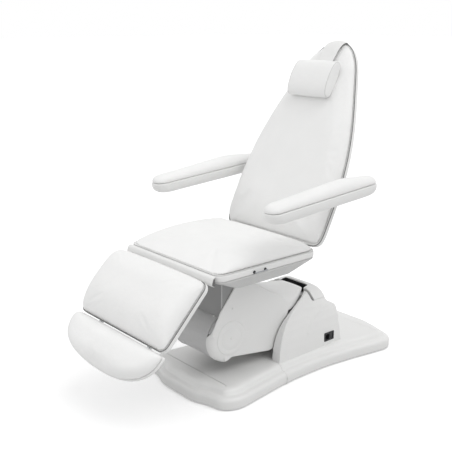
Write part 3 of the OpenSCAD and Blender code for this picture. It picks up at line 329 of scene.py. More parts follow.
def smoothed(factor, rounds):
    return "SMOOTH", {"factor": factor, "iterations": rounds}


def subdivided(levels=1):
    return "SUBSURF", {"levels": levels, "render_levels": levels}


def thickened(thickness, offset=-1.0):
    return "SOLIDIFY", {"thickness": thickness, "offset": offset}


def resample(pts, n, closed=True):
    """n points of equal spacing along a polyline."""
    p = np.asarray(pts, float)
    if closed:
        p = np.vstack([p, p[:1]])
    d = np.r_[0, np.cumsum(np.linalg.norm(np.diff(p, axis=0), axis=1))]
    t = np.linspace(0, d[-1], n + 1 if closed else n)[:n]
    return np.stack([np.interp(t, d, p[:, k]) for k in range(p.shape[1])], 1)


def softened(pts, rounds, closed=True):
    """An outline with each point drawn towards the middle of its neighbours, some rounds over."""
    p = np.array(pts, float)
    for _ in range(rounds):
        q = (np.roll(p, 1, 0) + np.roll(p, -1, 0)) / 2
        q = p * 0.5 + q * 0.5
        if not closed:
            q[0], q[-1] = p[0], p[-1]
        p = q
    return p


def arc(c, r, a0, a1, n):
    """n points round c, from a0 to a1 degrees."""
    t = np.radians(np.linspace(a0, a1, n))
    return np.stack([c[0] + r * np.cos(t), c[1] + r * np.sin(t)], 1)


def drawn(pts, d):
    """An outline pulled in by d (a number or one per point) along its own normals, counter-clockwise."""
    p = np.asarray(pts, float)
    t = np.roll(p, -1, 0) - np.roll(p, 1, 0)
    t /= np.maximum(np.linalg.norm(t, axis=1, keepdims=True), 1e-9)
    return p + np.stack([-t[:, 1], t[:, 0]], 1) * np.reshape(d, (-1, 1) if np.ndim(d) else ())


def shrunk(pts, d):
    """An outline made narrower and shorter by d at each end, about its middle."""
    p = np.asarray(pts, float)
    c = (p.max(0) + p.min(0)) / 2
    h = (p.max(0) - p.min(0)) / 2
    return c + (p - c) * (1 - d / h)


def rings_at(outlines):
    """Flat outlines, each with its height, as rings of points."""
    return [np.column_stack([o, np.full(len(o), z)]) for o, z in outlines]


def rounded(l, w, r, n=220):
    """A rectangle with round corners, about its middle."""
    corners = [(1, 1), (-1, 1), (-1, -1), (1, -1)]
    p = np.vstack([arc((a * (w / 2 - r), b * (l / 2 - r)), r, 90 * k, 90 * k + 90, 16)
                   for k, (a, b) in enumerate(corners)])
    return resample(p, n)


def tube(pts, radius, closed=False, sides=8):
    """A round cord mesh along points."""
    p = np.asarray(pts, float)
    n = len(p)
    rings = []
    up = None
    for i in range(n):
        a = p[(i - 1) % n] if closed or i else p[0]
        b = p[(i + 1) % n] if closed or i < n - 1 else p[-1]
        t = (b - a) / max(np.linalg.norm(b - a), 1e-9)
        if up is None:
            up = np.cross(t, [0.3, 0.5, 0.81])
        up = up - t * np.dot(up, t)
        up /= np.linalg.norm(up)
        side = np.cross(t, up)
        rings.append([p[i] + radius * (math.cos(k) * up + math.sin(k) * side)
                      for k in np.linspace(0, 2 * math.pi, sides, endpoint=False)])
    if closed:
        first = np.array(rings[0])
        last = np.array(rings[-1])
        turn = int(np.argmin([np.linalg.norm(np.roll(first, s, 0) - last) for s in range(sides)]))
        rings.append(np.roll(first, turn, 0))
        return lofted(rings, caps=(False, False))
    return lofted(rings)


def moulded(mesh, voxel, rounds):
    """The form in even small faces, its edges softened."""
    return applied(mesh, ("REMESH", {"mode": "VOXEL", "voxel_size": voxel}), smoothed(0.5, rounds))


# Padded pieces: closed forms, swollen together by one cloth simulation
PADS = []
FRAMES = 20
APART = 3.0


def pad(name, rings, voxel, cap, matrix, body, node, fill, hold, finish=None):
    """Keeps a form for swell(). cap is how far the cloth may move it, and hold says which points stay."""
    mesh = moulded(lofted(rings), voxel, 4)
    o = bpy.data.objects.new("work_" + name, mesh)
    scene.collection.objects.link(o)
    PADS.append(dict(o=o, rest=coords(mesh), name=name, cap=cap, matrix=matrix, body=body, node=node,
                     fill=fill, hold=hold, finish=finish))


def swell():
    """Runs every pad's cloth at once, under pressure and without gravity, and keeps the swollen places."""
    for k, p in enumerate(PADS):
        o = p["o"]
        o.location.x = APART * (k + 1)
        held = np.nonzero(p["hold"](p["rest"]))[0]
        group = o.vertex_groups.new(name="held")
        group.add([int(i) for i in held], 1.0, "REPLACE")
        cloth = o.modifiers.new("cloth", "CLOTH")
        s = cloth.settings
        s.quality = 4
        s.mass = 0.35
        s.tension_stiffness = s.compression_stiffness = 22
        s.shear_stiffness = 12
        s.bending_stiffness = 1.5
        s.use_pressure = True
        s.uniform_pressure_force = 3.0
        s.effector_weights.gravity = 0.0
        s.vertex_group_mass = "held"
        s.pin_stiffness = 1.0
        cloth.collision_settings.use_collision = False
        cloth.collision_settings.use_self_collision = False
        cloth.point_cache.frame_start = 1
        cloth.point_cache.frame_end = FRAMES
    for f in range(1, FRAMES + 1):
        scene.frame_set(f)
    deps = bpy.context.evaluated_depsgraph_get()
    for p in PADS:
        mesh = bpy.data.meshes.new_from_object(p["o"].evaluated_get(deps))
        step = coords(mesh) - p["rest"]
        size = np.linalg.norm(step, axis=1, keepdims=True)
        step *= p["cap"] * np.tanh(size / p["cap"]) / np.maximum(size, 1e-9)
        set_coords(mesh, p["rest"] + step)
        mesh = applied(mesh, smoothed(0.5, 3), subdivided())
        if p["finish"]:
            set_coords(mesh, p["finish"](coords(mesh), normals(mesh)))
        bpy.data.objects.remove(p["o"])
        p["piece"] = place(mesh, p["matrix"], p["name"], LEATHER, p["body"], (p["node"],), sharp=70)
    scene.frame_set(1)


# A cushion's side: shares of the shoulder's width drawn in, and of its height
DOME_SHARES = [(0.012, 0), (0.004, 0.06), (0, 0.14), (0.008, 0.24), (0.03, 0.34), (0.075, 0.45), (0.14, 0.56),
               (0.23, 0.67), (0.34, 0.77), (0.47, 0.86), (0.62, 0.93), (0.80, 0.98), (1, 1)]
CROWN_SHARES = [0.92, 0.8, 0.66, 0.5, 0.33, 0.16, 0.05]
# A full pillow's rings, as shares of its outline
PUFF_SHARES = [0.9985, 0.996, 0.992, 0.986, 0.977, 0.965, 0.95, 0.93, 0.905, 0.87, 0.82, 0.75, 0.66, 0.55,
               0.42, 0.28, 0.14, 0.04]
# Below this share of its height, a cushion's side is the lip at its sewn edge
LIP_SHARE = 0.1


def block(outline, side_h, crown, edge, slack, lip, shape):
    """Rings of a stuffed cushion: a sewn edge, a dome that rises from it, and a crowned top."""
    tuck = lip - edge * DOME_SHARES[0][0]
    rows = [(shrunk(outline, slack + edge * d + (tuck if z < LIP_SHARE else 0)), side_h * z)
            for d, z in DOME_SHARES]
    top = shrunk(outline, slack + edge)
    c = (top.max(0) + top.min(0)) / 2
    rows += [(c + (top - c) * s, side_h + crown * (1 - s ** 2)) for s in CROWN_SHARES]
    rings = rings_at(rows)
    for ring in rings:
        ring[:, 2] *= shape(ring)
    return rings


def puff(outline, height, low, high, base=0.0, slack=0.003, lip=0.006, corner=0.0):
    """Rings of a full pillow form. low and high shape its two ends along y: (power, root).
    slack and lip draw its foot in, and corner is the share by which its corners stand lower."""
    edge = shrunk(outline, slack)
    c = (edge.max(0) + edge.min(0)) / 2
    half = (edge.max(0) - edge.min(0)) / 2
    rings = [np.column_stack([shrunk(outline, slack + lip), np.full(len(edge), base)])]
    for s in PUFF_SHARES:
        ring = c + (edge - c) * s
        v = (ring[:, 1] - c[1]) / half[1]
        ends = np.where(v < 0, (1 - np.abs(v) ** low[0]) ** low[1],
                        (1 - np.abs(v) ** high[0]) ** high[1])
        ends *= 1 - corner * np.abs((ring[:, 0] - c[0]) / half[0] * v) ** 3
        rings.append(np.column_stack([ring, base + height * (1 - s ** 8) ** 0.4 * ends]))
    return rings


def gathers(outline, depth, pitch, reach, foot=0.0):
    """A finish that puckers the cover along its sewn edge."""
    ref = resample(outline, 900)

    def finish(co, no):
        near = (co[:, 2] > foot - 0.002) & (co[:, 2] < foot + reach * 3)
        idx = np.nonzero(near)[0]
        out = co.copy()
        for part in np.array_split(idx, max(1, len(idx) // 4000)):
            d = ((co[part, None, :2] - ref[None]) ** 2).sum(2)
            s = d.argmin(1)
            fall = np.exp(-((co[part, 2] - foot) / reach) ** 2)
            wave = np.sin(s * 0.7) * 0.5 + np.sin(s * 1.13 + 1) * 0.3 + np.sin(s * pitch + 2) * 0.4
            out[part] += no[part] * (depth * fall * wave)[:, None]
        return out
    return finish


def below(z):
    """Holds the points of a pad that lie under z."""
    return lambda co: co[:, 2] < z


# Outlines
seat_line = rounded(SEAT_L, SEAT_W, SEAT_R)
rest_line = rounded(REST_L, REST_W, REST_R)
# Shares of half the back's width and of its height, from the seat to the top
back_shares = [(0, 0), (0.30, 0), (0.58, 0), (0.80, 0), (0.90, 0.002), (0.955, 0.011), (0.985, 0.026),
               (1, 0.06), (1, 0.20), (0.995, 0.27), (0.975, 0.35), (0.94, 0.43), (0.885, 0.51),
               (0.815, 0.59), (0.73, 0.67), (0.645, 0.745), (0.57, 0.81), (0.505, 0.865), (0.43, 0.91),
               (0.335, 0.95), (0.22, 0.979), (0.10, 0.996), (0, 1)]
back_half = [(x * BACK_W / 2, y * BACK_L) for x, y in back_shares]
back_line = softened(resample(back_half + [(-x, y) for x, y in back_half[-2:0:-1]], 300), 6)
FOOT_HALF, FOOT_TOP, FOOT_RISE, FOOT_DROP = 0.295, -0.328, 0.012, 0.153
t = 2 * math.pi * (np.arange(220) + 0.5) / 220
power = np.where(np.sin(t) > 0, 0.30, 0.80)
depth = np.where(np.sin(t) > 0, FOOT_RISE, FOOT_DROP)
foot_line = np.stack([FOOT_HALF * np.sign(np.cos(t)) * np.abs(np.cos(t)) ** power,
                      FOOT_TOP + np.sign(np.sin(t)) * np.abs(np.sin(t)) ** power * depth], 1)
foot_line = resample(foot_line, 220)


def shifted(pts, x, y):
    return np.asarray(pts) + np.array([x, y])


LEG_Y = -0.1595
LEG_PAD_Z = 0.037
FOOT_PAD_Z = 0.0253
# Depth of a pad that the seam holds
SEWN = 0.004
leg_at = shifted(rounded(LEG_L, LEG_W, LEG_R), 0, LEG_Y)
pad("seat_cushion_cover", puff(seat_line, 0.060, low=(1.8, 0.6), high=(4.5, 0.4), corner=0.15),
    voxel=0.0065, cap=0.006, matrix=SEAT, body="seat", node="seat_cushion", fill=0.75, hold=below(SEWN),
    finish=gathers(seat_line, depth=0.0007, pitch=0.31, reach=0.012))
pad("back_cushion_cover", puff(back_line, 0.052, low=(6, 0.4), high=(5, 0.5), slack=0.002),
    voxel=0.0075, cap=0.006, matrix=PLANE, body="backrest", node="back_cushion", fill=0.75, hold=below(SEWN),
    finish=gathers(back_line, depth=0.0006, pitch=0.37, reach=0.012))
pad("leg_cushion_cover",
    puff(leg_at, 0.072, low=(2.4, 0.5), high=(8, 0.3), base=LEG_PAD_Z, slack=0.001, corner=0.45),
    voxel=0.006, cap=0.006, matrix=LEG, body="leg_rest", node="leg_cushion", fill=0.75,
    hold=below(LEG_PAD_Z + SEWN),
    finish=gathers(leg_at, depth=0.0007, pitch=0.41, reach=0.012, foot=LEG_PAD_Z))
pad("foot_cushion_cover",
    puff(foot_line, 0.058, low=(3.5, 0.5), high=(6, 0.45), base=FOOT_PAD_Z, slack=0.001, lip=0.004),
    voxel=0.0055, cap=0.005, matrix=LEG, body="foot_section", node="foot_cushion", fill=0.7,
    hold=below(FOOT_PAD_Z + SEWN),
    finish=gathers(foot_line, depth=0.0006, pitch=0.29, reach=0.010, foot=FOOT_PAD_Z))

PAD_Z = 0.024
PAD_GAP = 0.0003
REST_FRONT = -0.540
# Along an arm rest from its front: how high its pad stands
ARCH_SHARES = [(0, 0.78), (0.3, 0.88), (0.48, 1), (0.66, 1.1), (0.76, 1.03), (0.86, 0.88), (1, 0.72)]


def arched(ring):
    return np.interp((ring[:, 1] - REST_FRONT) / REST_L, *zip(*ARCH_SHARES))


for side, word in SIDES:
    line = shifted(rest_line, side * REST_X, REST_Y)
    rings = block(line, side_h=0.042, crown=0.009, edge=0.031, slack=0.001, lip=0.0015, shape=arched)
    pad(f"arm_pad_{word}", [r + np.array([0, 0, PAD_Z + PAD_GAP]) for r in rings], voxel=0.0055, cap=0.005,
        matrix=REST, body=f"arm_rest_{word}", node=f"rest_pad_{word}", fill=0.8, hold=below(PAD_Z + SEWN),
        finish=gathers(line, depth=0.0004, pitch=0.33, reach=0.008, foot=PAD_Z))

# Pillow: a short bolster, flat behind, with sewn end caps
PIL_Y, PIL_Z = -0.0972, 0.726
PIL_DEEP, PIL_TALL = 0.030, 0.085
PIL_END = 0.116
# Places along the pillow's half length, each with its section's share of the full one
pillow_shares = [(0.03, 1.0), (0.07, 0.99), (0.106, 0.98), (0.113, 0.965), (0.1155, 0.93), (PIL_END, 0.86)]


def pillow_section(x, s):
    a = np.linspace(0, 2 * math.pi, 96, endpoint=False)
    y, z = np.cos(a), np.sin(a)
    y = np.sign(y) * np.abs(y) ** np.where(y > 0, 0.55, 0.9)
    z = np.sign(z) * np.abs(z) ** 0.88
    return np.stack([np.full(96, x), PIL_Y + y * PIL_DEEP * s, PIL_Z + z * PIL_TALL * s], 1)


pillow_rows = [pillow_section(-x, q) for x, q in pillow_shares[::-1]]
pillow_rows += [pillow_section(x, q) for x, q in pillow_shares]
pad("pillow_cover", pillow_rows, voxel=0.005, cap=0.005, matrix=BACK, body="backrest", node="pillow",
    fill=0.8, hold=lambda co: (co[:, 1] > PIL_Y + PIL_DEEP - 0.0015) | (np.abs(co[:, 0]) > PIL_END - 0.0015))

swell()
made = {p["name"]: p["piece"] for p in PADS}


# Seams: tubes laid on the finished covers, and cords, dark and grey, whose colour paints the seams' shade
def surface(obj):
    bm = bmesh.new()
    bm.from_mesh(obj.data)
    tree = BVHTree.FromBMesh(bm)
    bm.free()
    return tree


def on(tree, pts, lift=0.0):
    """The nearest places to pts on a surface, lifted off it."""
    out = []
    for p in pts:
        loc, nor, _, _ = tree.find_nearest(Vector(p))
        out.append(np.array(loc) + np.array(nor) * lift)
    return np.array(out)


def seam_shade_cord(name, outline, matrix, z, body, d, r, material):
    """A cord sunk in the seam round a cushion, d inside its outline; its dark colour paints the seam's shade.
    """
    ring = drawn(outline, d)
    place(tube(np.column_stack([ring, np.full(len(ring), z)]), r, closed=True), matrix, name, material, body)


PIPED_X, PIPED_SHARE, PIPING_R = 0.1135, 0.97, 0.0016
pillow_tree = surface(made["pillow_cover"])
for k, x in enumerate((-PIPED_X, PIPED_X)):
    ring = [BACK @ Vector(p) for p in pillow_section(x, PIPED_SHARE)]
    line = softened(resample(on(pillow_tree, ring, 0.0002), 140), 4)
    place(tube(line, PIPING_R, closed=True), WORLD, f"pillow_end_piping_{k}", PIPING, "backrest")
# Painted seam shade: dark cords on the back and leg rest, a grey one on the seat
seam_shade_cord("back_seam_shade", back_line, PLANE, 0.0004, "backrest", d=0.002, r=0.0017, material=SHADE_DARK)
seam_shade_cord("leg_seam_shade", leg_at, LEG, LEG_PAD_Z + 0.0002, "leg_rest", d=0.002, r=0.0015, material=SHADE_DARK)
seam_shade_cord("seat_seam_shade", seat_line, SEAT, 0.0004, "seat", d=0.003, r=0.0016, material=PIPING)


# Leather bands and shells under the cushions
def slab(outline, t, edge, steps=4, panel=None):
    """A flat piece with rounded edges, its top at z = 0. panel is how far in and out a cover stands below."""
    turn = np.radians(np.linspace(0, 90, steps + 1))
    rows = [(drawn(outline, edge * (1 - math.cos(a))), -edge * (1 - math.sin(a))) for a in turn[::-1]]
    rows += [(drawn(outline, edge * (1 - math.cos(a))), -t + edge * (1 - math.sin(a))) for a in turn]
    if panel:
        d, h = panel
        rows += [(drawn(outline, d), -t), (drawn(outline, d + 0.0015), -t - h * 0.7),
                 (drawn(outline, d + 0.004), -t - h)]
    return lofted(rings_at(rows))


place(slab(seat_line, t=0.0275, edge=0.007), raised(SEAT, -0.0005), "seat_band", LEATHER_BAND, "seat",
      ("seat_board",), sharp=60)
place(slab(back_line, t=0.020, edge=0.0065, panel=(0.026, 0.0016)), raised(PLANE, -0.0003), "back_shell",
      LEATHER_BAND, "backrest", ("back_board",), sharp=60)
place(slab(leg_at, t=0.0195, edge=0.006, panel=(0.022, 0.0014)), raised(LEG, LEG_PAD_Z - 0.0005), "leg_band",
      LEATHER_BAND, "leg_rest", ("leg_board",), sharp=60)
place(slab(drawn(foot_line, 0.001), t=0.012, edge=0.0045), raised(LEG, FOOT_PAD_Z - 0.0003), "foot_band",
      PLASTIC, "foot_section", ("foot_board",), sharp=60)

# Arm rest shells, boat-shaped: drawn in across, drawn in along, and height
shell_rows = [(0.0015, 0.0015, 0), (0.0006, 0.0006, -0.0008), (0, 0, -0.004), (0, 0.0005, -0.016),
              (0.0015, 0.004, -0.026), (0.0055, 0.012, -0.035), (0.012, 0.024, -0.042),
              (0.020, 0.040, -0.0465), (0.028, 0.060, -0.048)]
for side, word in SIDES:
    line = shifted(rest_line, side * REST_X, REST_Y)
    rows = [(shrunk(line, np.array([across, along])), z) for across, along, z in shell_rows]
    place(lofted(rings_at(rows)), raised(REST, PAD_Z), f"arm_shell_{word}", PLASTIC, f"arm_rest_{word}",
          (f"rest_shell_{word}",), sharp=50)


def prism(pts, axis, lo, hi):
    """A solid of an outline: [y, z] along x, or [x, z] along y."""
    p = np.asarray(pts, float)
    if axis == "x":
        rings = [np.column_stack([np.full(len(p), x), p]) for x in (lo, hi)]
    else:
        rings = [np.column_stack([p[:, 0], np.full(len(p), y), p[:, 1]]) for y in (lo, hi)]
    return lofted(rings)


def sheet_of(rows):
    return lofted(rows, close=False, caps=(False, False))


# Leather flap over the joint of seat and leg rest: a rolled strip, open below, with dark plates in its ends
# that paint the shade inside it
FLAP_X = 0.287
flap = [(-0.5855, 0.5985), (-0.591, 0.5975), (-0.5965, 0.594), (-0.5995, 0.589), (-0.601, 0.583),
        (-0.603, 0.577), (-0.604, 0.571), (-0.602, 0.565), (-0.597, 0.561), (-0.591, 0.5595)]
hollow = [(-0.5890, 0.5945), (-0.5955, 0.5905), (-0.5985, 0.5830), (-0.6010, 0.5740), (-0.6005, 0.5690),
          (-0.5950, 0.5640), (-0.5900, 0.5630)]
flap = softened(resample(flap, 24, closed=False), 2, closed=False)
rows = [np.column_stack([np.full(24, x), flap]) for x in np.linspace(-FLAP_X, FLAP_X, 60)]
flap_piece = place(applied(sheet_of(rows), thickened(0.0022, 0.0), subdivided()), WORLD, "joint_flap",
                   LEATHER_BAND, "seat", ("seat_flap",), sharp=60)
# Painted shade: thin dark plates just inside the roll's open ends
for side, word in SIDES:
    mesh = prism(hollow, "x", side * (FLAP_X - 0.0012), side * (FLAP_X - 0.0004))
    place(mesh, WORLD, f"flap_inside_shade_{word}", SHADE_DARK, "seat", sharp=30)

# Strap that the pillow hangs on, over the top of the back
STRAP_HALF = 0.049
STRAP_T = 0.0026
STRAP_LIFT = 0.0022
TOP_Z = 0.944
top_half = [(x, y + 0.009) for x, y in back_half[14:]][::-1]
cover_tree = surface(made["back_cushion_cover"])
strap_rows = []
for x in np.linspace(-STRAP_HALF, STRAP_HALF, 17):
    # Down the back's front from its rounded top, and a little way behind it
    drop = float(np.interp(abs(x), *zip(*top_half))) - TOP_Z
    path = [(PIL_Y + 0.014, 0.788), (-0.0680, 0.812), (-0.0625, 0.836), (-0.0590, 0.862 + drop * 0.2),
            (-0.0540, 0.890 + drop * 0.5), (-0.0460, 0.916 + drop * 0.8), (-0.0340, 0.936 + drop),
            (-0.0200, 0.946 + drop), (-0.008, 0.9475 + drop), (0.003, 0.943 + drop), (0.0075, 0.930 + drop),
            (0.008, 0.900 + drop), (0.008, 0.870 + drop), (0.008, 0.848 + drop * 0.6)]
    row = []
    for y, z in softened(resample(path, 60, closed=False), 6, closed=False):
        w = BACK @ Vector((x, y, z))
        loc, nor, _, _ = cover_tree.find_nearest(w)
        row.append(np.array(w + nor * max(STRAP_LIFT - (w - loc).dot(nor), 0)))
    strap_rows.append(row)
strap = applied(sheet_of(strap_rows), smoothed(0.5, 5), thickened(STRAP_T, 0.0), subdivided())
sling = place(strap, WORLD, "pillow_sling", LEATHER_BAND, "backrest", ("pillow_strap",), sharp=60)

# Base covers: one outline in rings, cut at the joint
COVER_T = 0.0035
JOINT_GAP = 0.0006
LIP_DROP, LIP_IN = 0.006, 0.00032
FOOT_Z = 0.003
base_half = np.vstack([arc((0.082, -0.4355), 0.132, -90, -52, 10), arc((0.164, -0.4372), 0.120, -50, 4, 16),
                       [(0.276, -0.38), (0.262, -0.28), (0.250, -0.19), (0.2435, -0.10), (0.2425, 0.0),
                        (0.2445, 0.08), (0.2515, 0.16), (0.267, 0.27), (0.285, 0.37)],
                       arc((0.224, 0.461), 0.076, 0, 58, 12), arc((0.112, 0.4915), 0.076, 60, 90, 8)])
base_line = softened(resample(np.vstack([base_half, base_half[::-1] * np.array([-1, 1])]), 420), 14)
# How far the cover's edge is drawn in, and at what height
base_profile = [(0.004, 0.004), (0.001, 0.0065), (0, 0.011), (0, 0.036), (0.0008, 0.042), (0.003, 0.0475),
                (0.0065, 0.0512), (0.0115, 0.0534), (0.019, 0.0545), (0.026, 0.0552), (0.0295, 0.0570),
                (0.0325, 0.0610), (0.036, 0.0675), (0.041, 0.0735), (0.048, 0.0775), (0.057, 0.0795),
                (0.070, 0.0803)]
base_rings = rings_at([(drawn(base_line, d), z) for d, z in base_profile])


def base_part(front):
    bm = bmesh.new()
    bm.from_mesh(lofted(base_rings, caps=(False, True)))
    back = -1 if front else 1
    geom = bm.verts[:] + bm.edges[:] + bm.faces[:]
    cut = bmesh.ops.bisect_plane(bm, geom=geom, plane_co=(0, BASE_SPLIT + back * JOINT_GAP, 0),
                                 plane_no=(0, 1, 0), clear_outer=front, clear_inner=not front)
    # The joint's lip turns down into the cover
    edges = [e for e in cut["geom_cut"] if isinstance(e, bmesh.types.BMEdge)]
    out = bmesh.ops.extrude_edge_only(bm, edges=edges)
    for v in out["geom"]:
        if isinstance(v, bmesh.types.BMVert):
            v.co.z = max(v.co.z - LIP_DROP, FOOT_Z)
            v.co.y += back * LIP_IN
    m = bpy.data.meshes.new("m")
    bmesh.ops.recalc_face_normals(bm, faces=bm.faces)
    bm.to_mesh(m)
    bm.free()
    return m


for front, word in ((True, "front"), (False, "rear")):
    place(applied(base_part(front), thickened(COVER_T)), WORLD, f"base_{word}_moulding", PLASTIC, "base",
          (f"base_cover_{word}",), sharp=30)


# Tower: the two outlines crossed, the channel taken out, then softened like a moulding
def boolean(a, b, operation):
    ob = bpy.data.objects.new("tool", b)
    scene.collection.objects.link(ob)
    out = applied(a, ("BOOLEAN", {"operation": operation, "object": ob, "solver": "EXACT"}))
    bpy.data.objects.remove(ob)
    return out


def box_between(half, low, y0, y1):
    """A tall box across the middle, from height low up past everything."""
    return prism([(-half, low), (half, low), (half, HIGH), (-half, HIGH)], "y", y0, y1)


def crease(co, line, width, height):
    """Raises a soft ridge along a line of [y, z] on both side faces."""
    ref = resample(line, 80, closed=False)
    d = np.sqrt(((co[:, None, 1:] - ref[None]) ** 2).sum(2)).min(1)
    out = co.copy()
    out[:, 0] += np.sign(co[:, 0]) * height * np.exp(-(d / width) ** 2) * (np.abs(co[:, 0]) > 0.10)
    return out


# Clear of the tower on all sides, for what cuts it
LOW, HIGH, FAR = -0.1, 0.6, 0.5
TOWER_VOXEL = 0.003
GROW = 0.0015
side_shares = [(0, 0.03), (0, 0.17), (0.012, 0.36), (0.03, 0.45), (0.058, 0.54), (0.09, 0.61), (0.131, 0.672),
               (0.17, 0.718), (0.218, 0.76), (0.275, 0.80), (0.333, 0.835), (0.39, 0.866), (0.449, 0.893),
               (0.539, 0.928), (0.60, 0.95), (0.66, 0.972), (0.72, 0.993), (0.755, 1), (0.785, 0.985),
               (0.806, 0.955), (0.814, 0.91), (0.816, 0.82), (0.84, 0.79), (0.885, 0.765), (0.925, 0.735),
               (0.938, 0.69), (0.948, 0.5), (0.972, 0.3), (1, 0.15), (1, 0.03)]
front_shares = [(1, 0), (1, 0.13), (0.992, 0.35), (0.975, 0.48), (0.94, 0.60), (0.89, 0.70), (0.82, 0.79),
                (0.73, 0.87), (0.60, 0.94), (0.44, 0.98), (0.24, 0.996), (0, 1)]
channel_shares = [(1, 0), (1, 0.70), (0.985, 0.76), (0.955, 0.81), (0.90, 0.865), (0.82, 0.905), (0.70, 0.94),
                  (0.58, 0.965), (0.515, 0.975), (0.515, 1.1)]
side_pts = [(TOWER_FRONT + q * TOWER_L, PLATE_T + (h * TOWER_H - PLATE_T) * (1 + GROW / TOWER_H))
            for q, h in side_shares]
front_pts = [(q * TOWER_W / 2, h * (TOWER_H + GROW)) for q, h in front_shares]
front_pts += [(-x, z) for x, z in front_pts[-2::-1]]
channel_pts = [(q * CHANNEL_HALF, h * TOWER_H) for q, h in channel_shares]
channel_pts += [(-x, z) for x, z in channel_pts[::-1]]
whole = boolean(prism(side_pts, "x", -FAR, FAR), prism(front_pts, "y", -FAR, FAR), "INTERSECT")
# The room in a side's wall, the ridge on it, and the mains inlet's hole
cheek_room = [(0.152, LOW), (0.187, LOW), (0.187, 0.10), (0.176, 0.20), (0.160, 0.235), (0.152, 0.243)]
ridge = [(0.034, 0.171), (0.066, 0.210), (0.100, 0.239), (0.144, 0.260), (0.20, 0.263)]
inlet_hole = [(0.165, 0.0985), (0.21, 0.0985), (0.21, 0.1375), (0.165, 0.1375)]
for side, word in SIDES:
    cheek = boolean(whole.copy(), prism(channel_pts, "y", -FAR, TOWER_SPLIT), "DIFFERENCE")
    cheek = boolean(cheek, box_between(CHANNEL_HALF, LOW, TOWER_SPLIT - 0.013, FAR), "DIFFERENCE")
    keep = [(0, LOW), (side * FAR, LOW), (side * FAR, HIGH), (0, HIGH)]
    cheek = boolean(cheek, prism(keep, "y", -FAR, FAR), "INTERSECT")
    cheek = boolean(cheek, prism([(side * x, z) for x, z in cheek_room], "y", -0.04, 0.222), "DIFFERENCE")
    if word == "left":
        cheek = boolean(cheek, prism(inlet_hole, "y", 0.1395, 0.2005), "DIFFERENCE")
    mesh = applied(moulded(cheek, TOWER_VOXEL, 3), subdivided())
    set_coords(mesh, crease(coords(mesh), ridge, 0.006, 0.0018))
    cheek = place(mesh, WORLD, f"tower_cheek_{word}", PLASTIC, "base", (f"tower_side_{word}",),
                  sharp=60)
    # Its front edge is a band of another tone
    cheek.data.materials.append(BAND)
    for p in cheek.data.polygons:
        if p.normal.y < -0.35 and abs(p.normal.x) < 0.72 and abs(p.center.x) < 0.1925:
            p.material_index = 1

# Its rear, hollow inside, with the slot for the hood, whose inside walls are black to paint the slot's shade
room_across = [(-0.141, LOW), (0.141, LOW), (0.141, 0.24), (0.10, 0.30), (-0.10, 0.30), (-0.141, 0.24)]
room_along = [(0.1, LOW), (0.229, LOW), (0.229, 0.242), (0.222, 0.250), (0.205, 0.260), (0.190, 0.264),
              (0.179, 0.275), (0.179, 0.32), (0.1, 0.32)]
SLOT_HALF, SLOT_REAR, SLOT_LOW = 0.073, 0.147, 0.17
rear = boolean(whole.copy(), box_between(CHANNEL_HALF - 0.0003, LOW, TOWER_SPLIT + 0.0002, FAR), "INTERSECT")
room = boolean(prism(room_across, "y", 0.1, 0.23), prism(room_along, "x", -FAR, FAR), "INTERSECT")
rear = boolean(rear, room, "DIFFERENCE")
rear = boolean(rear, box_between(SLOT_HALF, SLOT_LOW, 0.1, SLOT_REAR), "DIFFERENCE")
mesh = applied(moulded(rear, TOWER_VOXEL, 3), subdivided())
rear = place(mesh, WORLD, "tower_rear_moulding", PLASTIC, "base", ("tower_back",),
             sharp=60)
rear.data.materials.append(BLACK)
# Painted shade: the slot's inside walls take the black
for p in rear.data.polygons:
    within = abs(p.center.x) < SLOT_HALF + 0.0035 and p.center.y < SLOT_REAR + 0.005
    if within and p.center.z < TOWER_H - 0.0065 and p.normal.z < 0.5:
        p.material_index = 1

# Arm covers: flat sides whose edge rolls in, widest round the nose
EDGE_ROLL, NOSE_ROLL = 0.004, 0.032
NOSE_LOW, NOSE_HIGH = 252, 158
# From the hub, in shares of the arm's length
cover_shares = [(-0.106, 0.243), (0.046, 0.425), (0.10, 0.447), (0.16, 0.442), (0.24, 0.415), (0.34, 0.355),
                (0.44, 0.292), (0.526, 0.250), (0.58, 0.212), (0.62, 0.168), (0.645, 0.120), (0.653, 0.075),
                (0.640, 0.036), (0.574, -0.028), (0.5416, -0.069), (0.5166, -0.116), (0.4935, -0.175),
                (0.474, -0.229), (0.43, -0.236), (0.01, -0.170)]
# The hub's boss: radius, and height off the cover
boss_rows = [(0.075, -0.0005), (0.0745, 0.0012), (0.073, 0.0022), (0.070, 0.0028), (0.062, 0.0032),
             (0.055, 0.0033), (0.0535, 0.0027), (0.0515, 0.0027), (0.050, 0.0035), (0.030, 0.0040),
             (0.008, 0.0042)]


def round_hub(r):
    """A circle of 96 points round the hub."""
    return arc(HUB, r, 0, 360, 97)[:-1]


